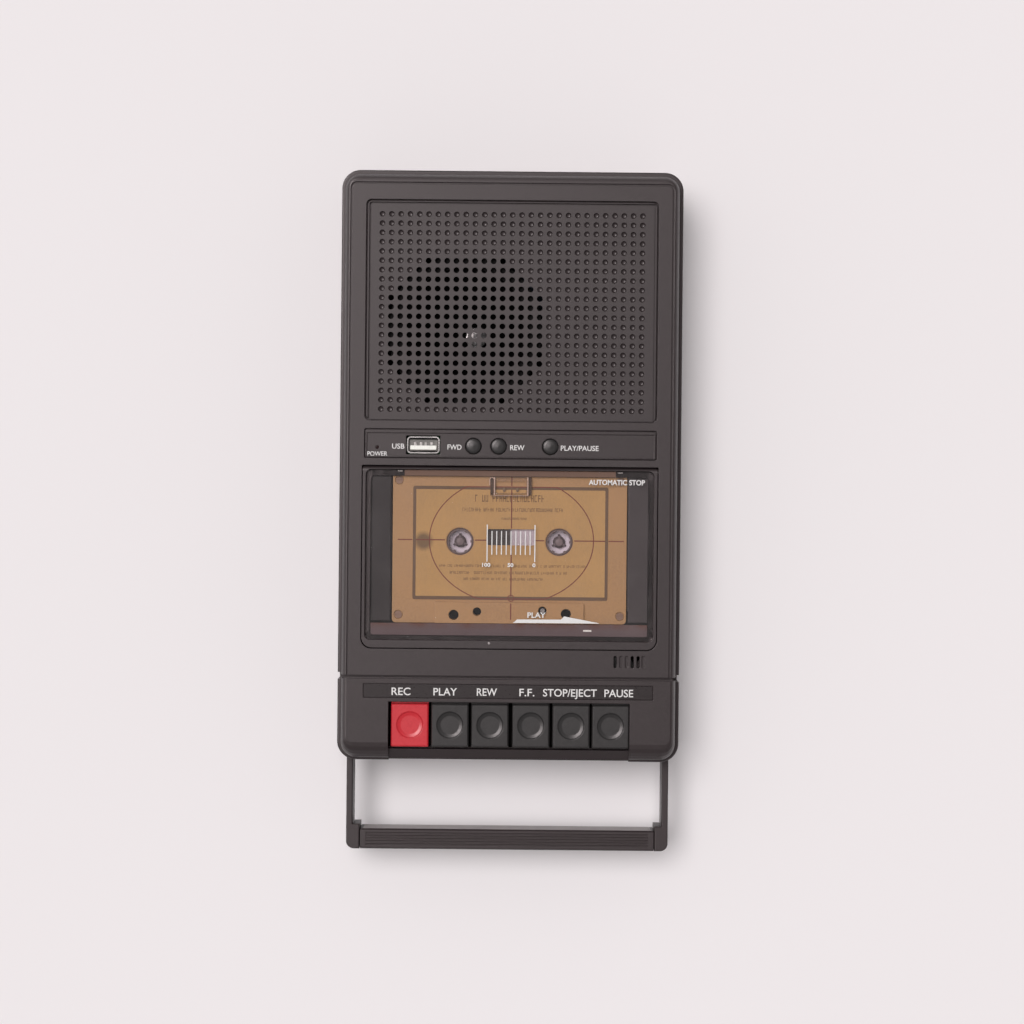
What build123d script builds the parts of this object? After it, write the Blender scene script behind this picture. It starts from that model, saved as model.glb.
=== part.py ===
from build123d import *
import math
import os

# Flat portable cassette player, lying on its feet with the lid, keys and speaker facing up.
# Millimetres. +X is right, +Y runs from the carrying handle to the speaker end, +Z is up.
# The origin is on the floor, under the middle of the outline with the handle pulled out.

# Case
HALF = 73.5             # half the width of the case
FRONT = -106.8          # face that the handle comes out of
REAR = 147.0            # face at the speaker end
CORNER = 8.0            # upright corners of the case
BASE = 2.0              # underside of the case, above the feet
SPLIT = 28.0            # height of the joint between the lower and upper covers
LEDGE = 50.0            # narrow ledge all round, under the rounded shoulder
TOP = 58.0              # flat top face
WALL = 2.4
CEILING = TOP - WALL    # underside of the top wall
CORE = HALF - WALL      # inner face of the side walls
SHOULDER_HALF = 71.9
SHOULDER_REAR = 145.0
SHOULDER_FRONT = -105.9
SIDE_ROUND = 2.6        # how far the shoulder leans in at the sides, the front and the rear
FRONT_ROUND = 7.2
REAR_ROUND = 3.4
SHOULDER_STEPS = 6
JOINT_Y = -70.7         # cross groove between the upper cover and the key block

# Speaker and its grille
GRILLE_X = 62.5
GRILLE_Y = (38.9, 133.5)
FIELD_X = (-61.2, 61.5) # sunken field of the grille, inside its raised rim
FIELD_REAR = 132.4
FIELD_Z = 57.4
CHANNEL = 0.8           # fine channel between the rim and the field
SEAM = 0.5              # joint round the grille and the control panel
HOLE_PITCH = 3.975
HOLE_COLUMNS = 29
HOLE_ROWS = 22
HOLE_FIRST = (-55.65, 127.3)
HOLE_R = 1.25
# Half section of a blind hole, as (radius, height)
PIT = [(0, 56.42), (0.3, 56.44), (0.7, 56.58), (1.0, 56.86), (1.2, 57.3), (1.2, 58.5), (0, 58.5)]
OPEN_COLUMN = 10        # the open holes form an octagon about this column and row
OPEN_ROW = 13.5
SPEAKER_X = -19.9
SPEAKER_Y = 77.6
SPEAKER_R = 33.0

# Control panel
PANEL_Y = (22.8, 35.5)
PANEL_TOP = 57.4
BUTTON_Y = 28.3
BUTTON_R = 3.25
BUTTON_X = {"button_forward": -15.85, "button_rewind": -5.1, "button_play_pause": 17.0}
LED_X = -57.0
LED_Y = 27.5
USB_X = -37.3
USB_Y = 28.6
USB_TOP = 57.3
USB_FLOOR = 47.0        # inner floor of the socket

# Lid and cassette bay
BAY_X = 63.4
BAY_Y = (-58.6, 19.85)
BAY_WALL = 1.4
LID_X = 63.0
LID_FRONT = -58.2
HINGE_Y = 17.6
HINGE_Z = 56.1
HINGE_R = 1.9           # rounded rear edge of the lid, about the hinge line
PIN_R = 1.2
LENS_X = 61.7
LENS_Y = (-54.9, 18.2)
LENS_SEAT = 56.1

# Compact cassette
TAPE_X = 50.2
TAPE_Y = (-47.5, 16.3)
TAPE_Z = (45.2, 54.0)
TAPE_MID = 49.6
THICK_X = 32.0          # thicker part along the tape edge
THICK_Y = -38.5
THICK_Z = (43.6, 55.6)
HUB_X = 21.25
HUB_Y = -12.5
LABEL_X = (-41.6, 42.3)
LABEL_Y = (-37.6, 11.3)
WINDOW_X = (-9.6, 10.8)
WINDOW_Y = (-14.0, -7.1)

# Tape drive
DECK_Z = (38.0, 39.2)
CAPSTAN_X = 14.3
CAPSTAN_Y = -41.9
CAPSTAN_R = 1.0
FLYWHEEL_R = 22.0
FLYWHEEL_Z = (31.0, 37.4)
HUB_PULLEY_R = 5.0
TAKEUP_PULLEY_R = 8.0
MOTOR_X = -38.0
MOTOR_Y = -38.0
MOTOR_R = 15.5
MOTOR_PULLEY_R = 4.0
BELT = 0.8
ROLLER_R = 4.2
ROLLER_Y = -52.4
RUN = 0.1               # radial clearance of a shaft in its bearing
GAP = 0.3               # clearance between faces that pass each other

# Piano keys
KEY_WIDTH = 16.0
KEY_X = {"key_record": -41.95, "key_play": -24.8, "key_rewind": -7.7,
         "key_forward": 9.8, "key_stop": 27.0, "key_pause": 43.9}
KEY_Y = (-100.4, -82.1)
DISH_Y = -91.1
DISH = [(0, 57.0), (4.0, 57.0), (5.3, 57.38), (6.0, 58.1), (6.0, 60), (0, 60)]
KEY_OPENING_X = (-51.2, 52.0)
KEY_OPENING_Y = (-101.6, -81.2)
KEY_SHAFT_Y = -79.0
KEY_SHAFT_Z = 52.5
KEY_SHAFT_R = 1.5

# Carrying handle
ARM_X = (67.3, 70.1)
ARM_Z = (20.0, 36.0)
ARM_REAR = -70.0
GRIP_OUTER = -147.0
GRIP_INNER = -138.2

# Batteries, feet, screws, side controls
CELL_R = 13.0
CELL_LENGTH = 50.0
CELL_Z = 18.3
CELL_Y = (98.0, 125.0)
CELL_X = (-26.5, 25.5)
DOOR_X = 57.0
DOOR_FRONT = 80.0
DOOR_LIP = 14.0
SCREWS = [(-59.0, -66.0), (59.0, -66.0), (-64.0, 72.0), (64.0, 72.0)]
FEET = [(-62.0, -94.0), (62.0, -94.0), (-64.0, 135.0), (64.0, 135.0)]
DECK_POSTS = [(-56.0, -54.0), (56.0, -54.0), (-56.0, 12.0), (56.0, 12.0)]
WHEEL_X = 61.2
WHEEL_Y = 100.0
WHEEL_R = 12.0
WHEEL_Z = (38.8, 42.8)
JACK_Y = (48.0, 62.0)
JACK_Z = 38.0
JACK_HALF = 3.4         # half the width of a socket's square face
BOARD_Z = (44.0, 45.6)

LOW = (Align.CENTER, Align.CENTER, Align.MIN)


# Building blocks

def block(x, y, z, r=0.0):
    """Upright block between the pairs x, y and z, its four upright edges rounded by r."""
    width, depth = x[1] - x[0], y[1] - y[0]
    outline = RectangleRounded(width, depth, r) if r else Rectangle(width, depth)
    middle = Pos((x[0] + x[1]) / 2, (y[0] + y[1]) / 2, z[0])
    return extrude(middle * outline, amount=z[1] - z[0])


def post(x, y, z, r):
    """Upright round bar."""
    return Pos(x, y, z[0]) * Cylinder(r, z[1] - z[0], align=LOW)


def rod(x, y, z, r):
    """Round bar along X, between the pair x."""
    return Pos(x[0], y, z) * Rot(0, 90, 0) * Cylinder(r, x[1] - x[0], align=LOW)


def both(shape):
    """A shape and its mirror image on the other side of the case."""
    return shape + mirror(shape, Plane.YZ)


def turned(x, y, points):
    """Solid of revolution about an upright axis, from (radius, height) points."""
    profile = make_face(Polyline([(r, 0, z) for r, z in points], close=True))
    return Pos(x, y, 0) * revolve(profile, Axis.Z)


def belt(x1, y1, r1, x2, y2, r2, z):
    """Flat belt round two pulleys."""
    def loop(a, b):
        length = math.hypot(x2 - x1, y2 - y1)
        heading = math.degrees(math.atan2(y2 - y1, x2 - x1))
        spread = math.degrees(math.acos((a - b) / length))
        corners = []
        for angle in (heading + spread, heading - spread):
            turn = math.radians(angle)
            corners.append(((x1 + a * math.cos(turn), y1 + a * math.sin(turn)),
                            (x2 + b * math.cos(turn), y2 + b * math.sin(turn))))
        sides = make_face(Polyline([corners[0][0], corners[0][1], corners[1][1], corners[1][0]], close=True))
        return Pos(x1, y1) * Circle(a) + Pos(x2, y2) * Circle(b) + sides
    ring = loop(r1 + GAP + BELT, r2 + GAP + BELT) - loop(r1 + GAP, r2 + GAP)
    return extrude(Pos(0, 0, z[0]) * ring, amount=z[1] - z[0])


# Case

def shoulder():
    """Rounded shoulder above the ledge, steeper at the sides than at the front and rear."""
    rings = []
    for step in range(SHOULDER_STEPS + 1):
        turn = math.pi / 2 * step / SHOULDER_STEPS
        lean = 1 - math.cos(turn)
        half = SHOULDER_HALF - SIDE_ROUND * lean
        front = SHOULDER_FRONT + FRONT_ROUND * lean
        rear = SHOULDER_REAR - REAR_ROUND * lean
        outline = RectangleRounded(2 * half, rear - front, 7.0 - 4.3 * lean)
        rings.append(Pos(0, (front + rear) / 2, LEDGE + (TOP - LEDGE) * math.sin(turn)) * outline)
    return loft(rings, ruled=True)


def upper_outside():
    """Outer form of everything above the case joint."""
    skirt = block((-HALF, HALF), (FRONT, REAR), (SPLIT, LEDGE), CORNER)
    skirt = fillet(skirt.faces().sort_by(Axis.Z)[-1].edges(), 0.8)
    skirt = chamfer(skirt.faces().sort_by(Axis.Z)[0].edges(), 0.4)
    return skirt + shoulder()


def upper_inside():
    """Hollow of the upper covers."""
    wide = block((-CORE, CORE), (FRONT + WALL, REAR - WALL), (SPLIT - 1, LEDGE - WALL), CORNER - WALL)
    narrow = block((-68.8, 68.8), (-101.0, 141.4), (SPLIT - 1, CEILING), 5.0)
    return wide + narrow


def cross_groove():
    """Groove that runs over the top and down both sides between the upper cover and the key block."""
    across = block((-80, 80), (JOINT_Y - 0.7, JOINT_Y + 0.7), (TOP - 1.6, TOP + 1))
    cheek = block((70.7, 80), (JOINT_Y - 0.7, JOINT_Y + 0.7), (LEDGE - 0.5, TOP + 1))
    notch = block((72.5, 80), (JOINT_Y - 1.5, JOINT_Y + 1.5), (SPLIT - 1, LEDGE + 1))
    return across + both(cheek + notch)


def arm_slots(z):
    """Slots in the front wall for the handle's arms."""
    return both(block((ARM_X[0] - 0.4, ARM_X[1] + 0.4), (FRONT - 1, -95.0), z))


def mic_slots():
    """Row of upright slots over the microphone; every other one or so is only a shallow groove."""
    cuts = []
    for x, depth in ((45.6, 4), (48.1, 0.8), (50.5, 0.8), (52.9, 4), (55.4, 4), (57.6, 0.8)):
        cuts.append(block((x - 0.65, x + 0.65), (-65.95, -60.85), (TOP - depth, TOP + 1), 0.6))
    return cuts


def edge_groove():
    """Fine groove that frames the flat top face."""
    outer = block((-69.3, 69.3), (JOINT_Y - 5, 140.9), (TOP - 0.7, TOP + 1), 2.7)
    inner = block((-68.5, 68.5), (JOINT_Y - 9, 140.1), (TOP - 0.8, TOP + 2), 1.9)
    return outer - inner


def bay_walls():
    """Upright walls round the cassette bay, open low down at the front for the head plate."""
    outer = block((-BAY_X - BAY_WALL, BAY_X + BAY_WALL), (BAY_Y[0] - BAY_WALL, BAY_Y[1] + BAY_WALL),
                  (DECK_Z[1] + 0.2, CEILING + 0.1), 5.5)
    return outer - block((-36, 36), (-62, -57), (DECK_Z[1], 50.0))


def top_cover():
    """Upper cover: speaker end, cassette bay and microphone slots."""
    cover = upper_outside() - upper_inside()
    cover = cover & block((-90, 90), (JOINT_Y + 0.02, REAR + 5), (0, 80))
    cover += bay_walls()
    cover += [post(x, y, (SPLIT + 0.1, CEILING + 0.1), 4.5) for x, y in SCREWS]
    cover += both(block((BAY_X + 1, 67.5), (14.6, 20.2), (53.2, CEILING + 0.1)))
    cover -= block((-BAY_X, BAY_X), BAY_Y, (DECK_Z[0], TOP + 1), 4.6)
    cover -= block((-BAY_X, BAY_X), (0, BAY_Y[1]), (DECK_Z[0], TOP + 1), 0.6)
    cover -= block((-GRILLE_X, GRILLE_X), GRILLE_Y, (56.4, TOP + 1), 2.2)
    cover -= block((-59.5, 59.5), (GRILLE_Y[0] + 3, GRILLE_Y[1] - 3), (50, TOP), 2.0)
    cover -= block((-GRILLE_X, GRILLE_X), PANEL_Y, (56.4, TOP + 1), 0.8)
    cover -= block((-60, 60), (PANEL_Y[0] + 1.8, PANEL_Y[1] - 1.8), (50, TOP), 1.0)
    cover -= both(rod((BAY_X - 1, 65.9), HINGE_Y, HINGE_Z, PIN_R + RUN))
    cover -= [post(x, y, (SPLIT - 1, 40), 1.5) for x, y in SCREWS]
    cover -= mic_slots()
    cover -= edge_groove()
    cover -= cross_groove()
    cover -= block((69, 80), (WHEEL_Y - 8.5, WHEEL_Y + 8.5), (WHEEL_Z[0] - 0.4, WHEEL_Z[1] + 0.4))
    cover -= [block((-80, -70), (y - JACK_HALF - GAP, y + JACK_HALF + GAP),
                    (JACK_Z - JACK_HALF - GAP, JACK_Z + JACK_HALF + GAP)) for y in JACK_Y]
    return cover


def front_bezel():
    """Key block: frames the piano keys and forms the front of the upper case."""
    bezel = upper_outside() - upper_inside()
    bezel = bezel & block((-90, 90), (FRONT - 5, JOINT_Y - 0.02), (0, 80))
    lip = Plane.YZ * make_face(Polyline([(-101.5, 60.0), (-101.5, 54.4), (-106.3, 51.2),
                                         (-106.3, 27.0), (-108.0, 27.0), (-108.0, 60.0)], close=True))
    x0, x1 = KEY_OPENING_X
    bezel -= Pos(x0, 0, 0) * extrude(lip, amount=x1 - x0)
    bezel -= block(KEY_OPENING_X, KEY_OPENING_Y, (49.0, TOP + 1))
    ribs = [block((x, x + 3), (KEY_SHAFT_Y - 4, KEY_SHAFT_Y + 4), (KEY_SHAFT_Z - 4, CEILING + 0.1))
            for x in (x0 - 4.3, x1 + 1.3)]
    bezel += ribs
    bezel -= rod((x0 - 4.4, x1 + 4.4), KEY_SHAFT_Y, KEY_SHAFT_Z, KEY_SHAFT_R)
    bezel -= block((-62.0, 62.0), (-79.7, -73.5), (TOP - 0.6, TOP + 1), 0.4)
    bezel -= cross_groove()
    bezel -= arm_slots((SPLIT - 1, ARM_Z[1] + 0.4))
    return bezel


def door_cut(grow):
    """Space of the battery door: a panel in the floor that turns up the rear wall."""
    x = DOOR_X + grow
    floor = block((-x, x), (DOOR_FRONT - grow, REAR + 5), (0, BASE + WALL + 0.1))
    lip = block((-x, x), (REAR - WALL - 0.1, REAR + 5), (0, DOOR_LIP + grow))
    return floor + lip


def lower_outside():
    """Outer form of everything below the case joint."""
    tub = block((-HALF, HALF), (FRONT, REAR), (BASE, SPLIT), CORNER)
    tub = fillet(tub.faces().sort_by(Axis.Z)[0].edges(), 4.0)
    return chamfer(tub.faces().sort_by(Axis.Z)[-1].edges(), 0.4)


def bottom_cover():
    """Lower cover: floor, walls, screw bosses, handle guides and battery compartment."""
    floor = BASE + WALL
    cover = lower_outside()
    cover -= block((-CORE, CORE), (FRONT + WALL, REAR - WALL), (floor, SPLIT + 1), CORNER - WALL)
    cover += [post(x, y, (floor - 0.1, SPLIT - 0.1), 5.5) for x, y in SCREWS]
    cover += [post(x, y, (floor - 0.1, DECK_Z[0]), 3.0) for x, y in DECK_POSTS]
    cover += both(block((64.9, 66.8), (-103.0, -34.0), (floor - 0.1, 27.5)))
    cover += both(block((66.7, CORE + 0.1), (-103.0, -34.0), (17.6, ARM_Z[0] - GAP)))
    cover += both(block((57.6, 59.2), (81.0, 143.0), (floor - 0.1, 24.0)))
    cover += block((-59.2, 59.2), (81.0, 82.6), (floor - 0.1, 24.0))
    cover -= door_cut(GAP)
    cover -= [post(x, y, (0, 8.0), 3.7) for x, y in SCREWS]
    cover -= [post(x, y, (0, SPLIT + 1), 1.7) for x, y in SCREWS]
    cover -= arm_slots((ARM_Z[0] - GAP, SPLIT + 1))
    return cover


def battery_door():
    """Door that slides off towards the rear, with three finger ridges."""
    hollow = block((-CORE, CORE), (FRONT + WALL, REAR - WALL), (BASE + WALL, SPLIT + 1), CORNER - WALL)
    door = (lower_outside() - hollow) & door_cut(0)
    door -= [block((-15, 15), (y, y + 1.2), (BASE - 1, BASE + 0.6)) for y in (92.0, 95.0, 98.0)]
    return door


def rubber_feet():
    """Four feet, slightly dished at the edge."""
    points = [(0, 0), (4.4, 0), (5.0, 0.6), (5.0, BASE), (0, BASE)]
    return [turned(x, y, points) for x, y in FEET]


def case_screws():
    """Long screws from the underside into the upper cover."""
    screws = []
    for x, y in SCREWS:
        screw = post(x, y, (5.6, 8.0), 3.1) + post(x, y, (7.9, 39.5), 1.5)
        slots = block((x - 2, x + 2), (y - 0.4, y + 0.4), (5, 6.6))
        slots += block((x - 0.4, x + 0.4), (y - 2, y + 2), (5, 6.6))
        screws.append(screw - slots)
    return screws


# Speaker

def hole_is_open(column, row):
    """Whether a grille hole goes right through, over the speaker cone."""
    across, along = abs(column - OPEN_COLUMN), abs(row - OPEN_ROW)
    return across <= 8 and along <= 8 and across + along <= 11.5


def speaker_grille():
    """Grille panel with a rim on three sides and a grid of dimples, open over the speaker."""
    x, (y0, y1) = GRILLE_X - SEAM, GRILLE_Y
    left, right = FIELD_X
    panel = block((-x, x), (y0 + SEAM, y1 - SEAM), (56.4, TOP), 2.0)
    panel = chamfer(panel.faces().sort_by(Axis.Z)[-1].edges(), 0.25)
    panel -= block(FIELD_X, (y0 - 1, FIELD_REAR), (FIELD_Z, TOP + 1), 1.0)
    channel = block(FIELD_X, (y0 - 1, FIELD_REAR), (FIELD_Z - 0.5, TOP + 1), 1.0)
    channel -= block((left + CHANNEL, right - CHANNEL), (y0 - 3, FIELD_REAR - CHANNEL), (50, TOP + 2), 0.6)
    panel -= channel
    holes = []
    for row in range(1, HOLE_ROWS + 1):
        for column in range(1, HOLE_COLUMNS + 1):
            hole_x = HOLE_FIRST[0] + HOLE_PITCH * (column - 1)
            hole_y = HOLE_FIRST[1] - HOLE_PITCH * (row - 1)
            if hole_is_open(column, row):
                holes.append(post(hole_x, hole_y, (56.0, 58.5), HOLE_R))
            else:
                holes.append(turned(hole_x, hole_y, PIT))
    return panel - holes


def speaker_frame():
    """Pressed steel basket and flange."""
    r = SPEAKER_R
    return turned(SPEAKER_X, SPEAKER_Y, [(9, 41.2), (16.5, 41.2), (27.8, 53.4), (r, 53.4), (r, 55.4),
                                         (r - 6.0, 55.4), (r - 6.0, 54.2), (16.0, 42.2), (9, 42.2)])


def speaker_magnet():
    """Ring magnet with its back plate."""
    return turned(SPEAKER_X, SPEAKER_Y, [(0, 33), (13, 33), (13, 34.2), (16, 34.2), (16, 41.1), (0, 41.1)])


def speaker_cone():
    """Paper cone, half-roll surround and dust cap in one moulding."""
    points = [(0, 49.4), (4.5, 48.8), (8.5, 46.4), (10.0, 45.4), (23.8, 53.0), (24.8, 53.8), (25.9, 53.3),
              (26.5, 54.1), (24.9, 54.6), (23.4, 53.7), (10.0, 46.2), (8.6, 47.2), (4.5, 49.4), (0, 50.0)]
    return turned(SPEAKER_X, SPEAKER_Y, points)


# Control panel and electronics

def control_panel():
    """Narrow panel for the lamp, the socket and the three small buttons."""
    x, (y0, y1) = GRILLE_X - SEAM, PANEL_Y
    panel = block((-x, x), (y0 + SEAM, y1 - SEAM), (56.4, TOP - 0.1), 0.6)
    panel -= block((-x + 0.6, x - 0.6), (y0 + 1.0, y1 - 1.8), (PANEL_TOP, TOP + 1))
    panel -= block((USB_X - 7.3, USB_X + 7.3), (USB_Y - 4.0, USB_Y + 4.0), (50, TOP + 1), 0.4)
    panel -= [post(bx, BUTTON_Y, (50, TOP + 1), BUTTON_R + GAP) for bx in BUTTON_X.values()]
    panel -= post(LED_X, LED_Y, (50, TOP + 1), 0.75)
    return panel


def usb_shell():
    """Folded metal shell of the upright socket, flared at its mouth."""
    x, y = USB_X, USB_Y
    shell = block((x - 6.55, x + 6.55), (y - 2.9, y + 2.9), (BOARD_Z[1], USB_TOP), 0.5)
    shell += block((x - 6.95, x + 6.95), (y - 3.6, y + 3.6), (USB_TOP - 0.6, USB_TOP), 1.6)
    shell -= block((x - 6.2, x + 6.2), (y - 2.55, y + 2.55), (USB_FLOOR, USB_TOP + 1), 0.3)
    return shell - block((x - 6.45, x + 6.45), (y - 3.1, y + 3.1), (USB_TOP - 0.3, USB_TOP + 1), 1.2)


def usb_tongue():
    """Contact tongue inside the socket."""
    return block((USB_X - 5.6, USB_X + 5.6), (USB_Y - 2.0, USB_Y - 0.2), (USB_FLOOR, USB_TOP - 0.5), 0.2)


def power_led():
    """Lamp behind the small hole."""
    return post(LED_X, LED_Y, (BOARD_Z[1], 55.8), 1.5) + post(LED_X, LED_Y, (55.7, 57.0), 0.65)


def push_button(x):
    """Small domed button with a flange that stops it under the panel."""
    r = BUTTON_R
    stem = [(0, 50.2), (1.6, 50.2), (1.6, 54.0)]
    flange = [(r + 0.9, 54.0), (r + 0.9, 55.2), (r, 55.2)]
    dome = [(r, 58.0), (r - 0.35, 58.45), (r - 1.1, 58.75), (0, 59.0)]
    return turned(x, BUTTON_Y, stem + flange + dome)


def main_board():
    """L-shaped circuit board beside the speaker and under the control panel."""
    board = block((-62, 58.5), (23.0, 38.0), BOARD_Z) + block((16, 58.5), (37.0, 132.0), BOARD_Z)
    return board + block((58.0, 66.0), (90.0, 110.0), BOARD_Z)


def board_components():
    """Switches, capacitors, amplifier chip, transformer and volume control body."""
    z = BOARD_Z[1]
    parts = [block((bx - 3, bx + 3), (BUTTON_Y - 3, BUTTON_Y + 3), (z, 49.1)) for bx in BUTTON_X.values()]
    parts += [post(x, y, (z, 54.0), 3.1) for x, y in ((30, 46), (38, 46), (46, 46), (50, 60))]
    parts.append(block((24, 44), (60, 67), (z, 49.5)))
    parts.append(block((22, 36), (80, 96), (z, 54.5)))
    parts.append(block((55, 65.5), (95, 105), (z, 51.0)))
    return parts


def side_jacks():
    """Earphone and microphone sockets with square faces in the left side wall."""
    jacks = []
    for y in JACK_Y:
        face = block((-HALF + 0.2, -64), (y - JACK_HALF, y + JACK_HALF),
                     (JACK_Z - JACK_HALF, JACK_Z + JACK_HALF))
        face = chamfer(face.faces().sort_by(Axis.X)[0].edges(), 0.4)
        jack = face + block((-66, -57.5), (y - 4.5, y + 4.5), (33.5, 42.5))
        jacks.append(jack - rod((-HALF, -61), y, JACK_Z, 1.8))
    return jacks


def volume_wheel():
    """Finger wheel with a notched rim, flush with the right side wall."""
    wheel = post(WHEEL_X, WHEEL_Y, WHEEL_Z, WHEEL_R) + post(WHEEL_X, WHEEL_Y, (WHEEL_Z[1] - 0.1, 43.7), 2.0)
    notches = []
    for step in range(36):
        turn = math.radians(10 * step)
        notches.append(post(WHEEL_X + WHEEL_R * math.cos(turn), WHEEL_Y + WHEEL_R * math.sin(turn),
                            (WHEEL_Z[0] - 1, WHEEL_Z[1] + 1), 0.5))
    return wheel - notches


def mic_capsule():
    """Microphone in its rubber boot, under the slots."""
    return turned(48.5, -65.0, [(0, 46), (4.7, 46), (4.7, 55.5), (3.2, 55.5), (3.2, 54.6), (0, 54.6)])


# Batteries

def battery_cells():
    """Four cells in two rows."""
    cells = []
    for y in CELL_Y:
        for x in CELL_X:
            half = CELL_LENGTH / 2
            cell = rod((x - half, x + half - 1.6), y, CELL_Z, CELL_R)
            cells.append(cell + rod((x + half - 1.7, x + half), y, CELL_Z, 3.2))
    return cells


def battery_contacts():
    """Spring contact on the left and flat contact on the right of each row."""
    contacts = []
    for y in CELL_Y:
        plate = block((-56.9, -56.4), (y - 9, y + 9), (8, 28))
        spring = Pos(-56.5, y, CELL_Z) * Rot(0, 90, 0) * Cone(7.5, 4.5, 4.6, align=LOW)
        contacts.append(plate + spring)
        flat = block((50.9, 51.5), (y - 9, y + 9), (8, 28))
        contacts.append(flat + block((51.4, 57.5), (y - 3, y + 3), (26, 27)))
    return contacts


# Tape drive

def deck_plate():
    """Steel chassis plate under the cassette, with the bearings of the capstan and the two spindles."""
    plate = block((-62.8, 62.8), (-60.0, 20.4), DECK_Z, 2.0) + block((-48, 48), (-66.5, -58.0), DECK_Z, 2.0)
    plate += post(CAPSTAN_X, CAPSTAN_Y, (DECK_Z[1] - 0.1, 43.0), 3.0)
    plate -= post(CAPSTAN_X, CAPSTAN_Y, (30, 50), CAPSTAN_R + RUN)
    plate -= [post(x, HUB_Y, (30, 50), 1.5 + RUN) for x in (-HUB_X, HUB_X)]
    return plate


def spindle(x, foot):
    """Reel spindle: shaft, reel table and tapered drive splines."""
    shaft = [(0, foot), (1.5, foot), (1.5, 39.9)]
    table = [(10, 39.9), (10, 42.0), (6, 42.9)]
    tip = [(2.6, 42.9), (2.6, 49.0), (1.6, 51.4), (0, 51.8)]
    parts = turned(x, HUB_Y, shaft + table + tip)
    fin = make_face(Polyline([(0, 42.5), (3.4, 42.5), (3.4, 47.4), (2.5, 50.4), (0, 50.4)], close=True))
    for turn in (90, 210, 330):
        parts += Pos(x, HUB_Y, 0) * Rot(0, 0, turn) * Pos(0, 0.5, 0) * extrude(Plane.XZ * fin, amount=1.0)
    return parts


def takeup_spindle():
    """Right spindle, with the pulley that the flywheel drives."""
    return spindle(HUB_X, 26.5) + post(HUB_X, HUB_Y, (27, 30), TAKEUP_PULLEY_R)


def supply_spindle():
    """Left spindle, which only follows the tape."""
    return spindle(-HUB_X, 34.0) + post(-HUB_X, HUB_Y, (34, 36), 3.0)


def flywheel():
    """Heavy flywheel with a small pulley under it."""
    z0, z1 = FLYWHEEL_Z
    r = FLYWHEEL_R
    pulley = [(0, 26.5), (HUB_PULLEY_R, 26.5), (HUB_PULLEY_R, z0 + 1.6)]
    rim = [(16, z0 + 1.6), (17.5, z0), (r, z0), (r, z1), (0, z1)]
    disc = turned(CAPSTAN_X, CAPSTAN_Y, pulley + rim)
    return disc - post(CAPSTAN_X, CAPSTAN_Y, (20, 40), CAPSTAN_R)


def motor():
    """Round motor with a bearing boss."""
    r = MOTOR_R
    can = [(0, 12), (r - 1, 12), (r, 13), (r, 33), (r - 1, 34)]
    boss = [(3, 34), (3, 34.4), (0, 34.4)]
    return turned(MOTOR_X, MOTOR_Y, can + boss) - post(MOTOR_X, MOTOR_Y, (28, 40), 0.9 + RUN)


def motor_pulley():
    """Grooveless pulley on the motor shaft."""
    return post(MOTOR_X, MOTOR_Y, (29, 37.4), 0.9) + post(MOTOR_X, MOTOR_Y, (34.7, 37.4), MOTOR_PULLEY_R)


def head_plate():
    """Sliding plate that carries the heads and the pinch roller."""
    plate = block((-32, 32), (-70.0, -52.0), (39.8, 41.0), 1.0)
    plate += post(CAPSTAN_X, ROLLER_Y, (40.9, 53.3), CAPSTAN_R)
    plate += post(CAPSTAN_X, ROLLER_Y, (40.9, 43.2), 2.0)
    return plate & block((-40, 40), (-80, -40), (39.8, 60))


def tape_heads():
    """Record and playback head in the middle, erase head to its left."""
    heads = []
    for x, half in ((0.0, 6.0), (-15.6, 3.6)):
        head = block((x - half, x + half), (-57.7, -50.6), (45.9, 53.3), 0.6)
        nose = Pos(x, -50.6 - 0.9, 45.9) * Cylinder(min(half - 0.8, 4.0), 7.4, align=LOW)
        nose = nose & block((x - half, x + half), (-54, -49.7), (45, 54))
        heads.append(head + nose + block((x - half + 1, x + half - 1), (-57.0, -53.2), (41.0, 46.0)))
    return heads


def pinch_roller():
    """Rubber roller that presses the tape against the capstan."""
    roller = post(CAPSTAN_X, ROLLER_Y, (46.2, 53.0), ROLLER_R)
    return roller - post(CAPSTAN_X, ROLLER_Y, (40, 60), CAPSTAN_R + RUN)


# Keys

def key_profile():
    """Side view of a key: cap, web to the shaft, boss and a leg that works the deck."""
    y0, y1 = KEY_Y
    top = [(y0, 49.6), (y0, 57.3), (y0 + 0.6, 57.8), (y1 - 0.6, TOP), (y1, 57.5), (y1, 51.2)]
    leg = [(-84.0, 50.6), (-84.0, 44.0), (-87.5, 44.0), (-87.5, 50.0)]
    cap = make_face(Polyline(top + leg, close=True))
    web = make_face(Polyline([(y1 - 1, 54.4), (y1 - 1, 50.4), (KEY_SHAFT_Y, 50.4), (KEY_SHAFT_Y, 54.4)],
                             close=True))
    boss = Pos(KEY_SHAFT_Y, KEY_SHAFT_Z) * Circle(2.7)
    bore = Pos(KEY_SHAFT_Y, KEY_SHAFT_Z) * Circle(KEY_SHAFT_R + RUN)
    return cap + web + boss - bore


def key(x):
    """Piano key with a shallow round finger dish and softened edges."""
    body = Pos(x - KEY_WIDTH / 2, 0, 0) * extrude(Plane.YZ * key_profile(), amount=KEY_WIDTH)
    body = chamfer(body.faces().filter_by(Plane.YZ).edges().filter_by(
        lambda edge: edge.center().Z > 56.5), 0.6)
    return body - turned(x, DISH_Y, DISH)


def key_shaft():
    """Steel rod that the six keys turn on."""
    return rod((KEY_OPENING_X[0] - 4.3, KEY_OPENING_X[1] + 4.3), KEY_SHAFT_Y, KEY_SHAFT_Z, KEY_SHAFT_R)


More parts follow.
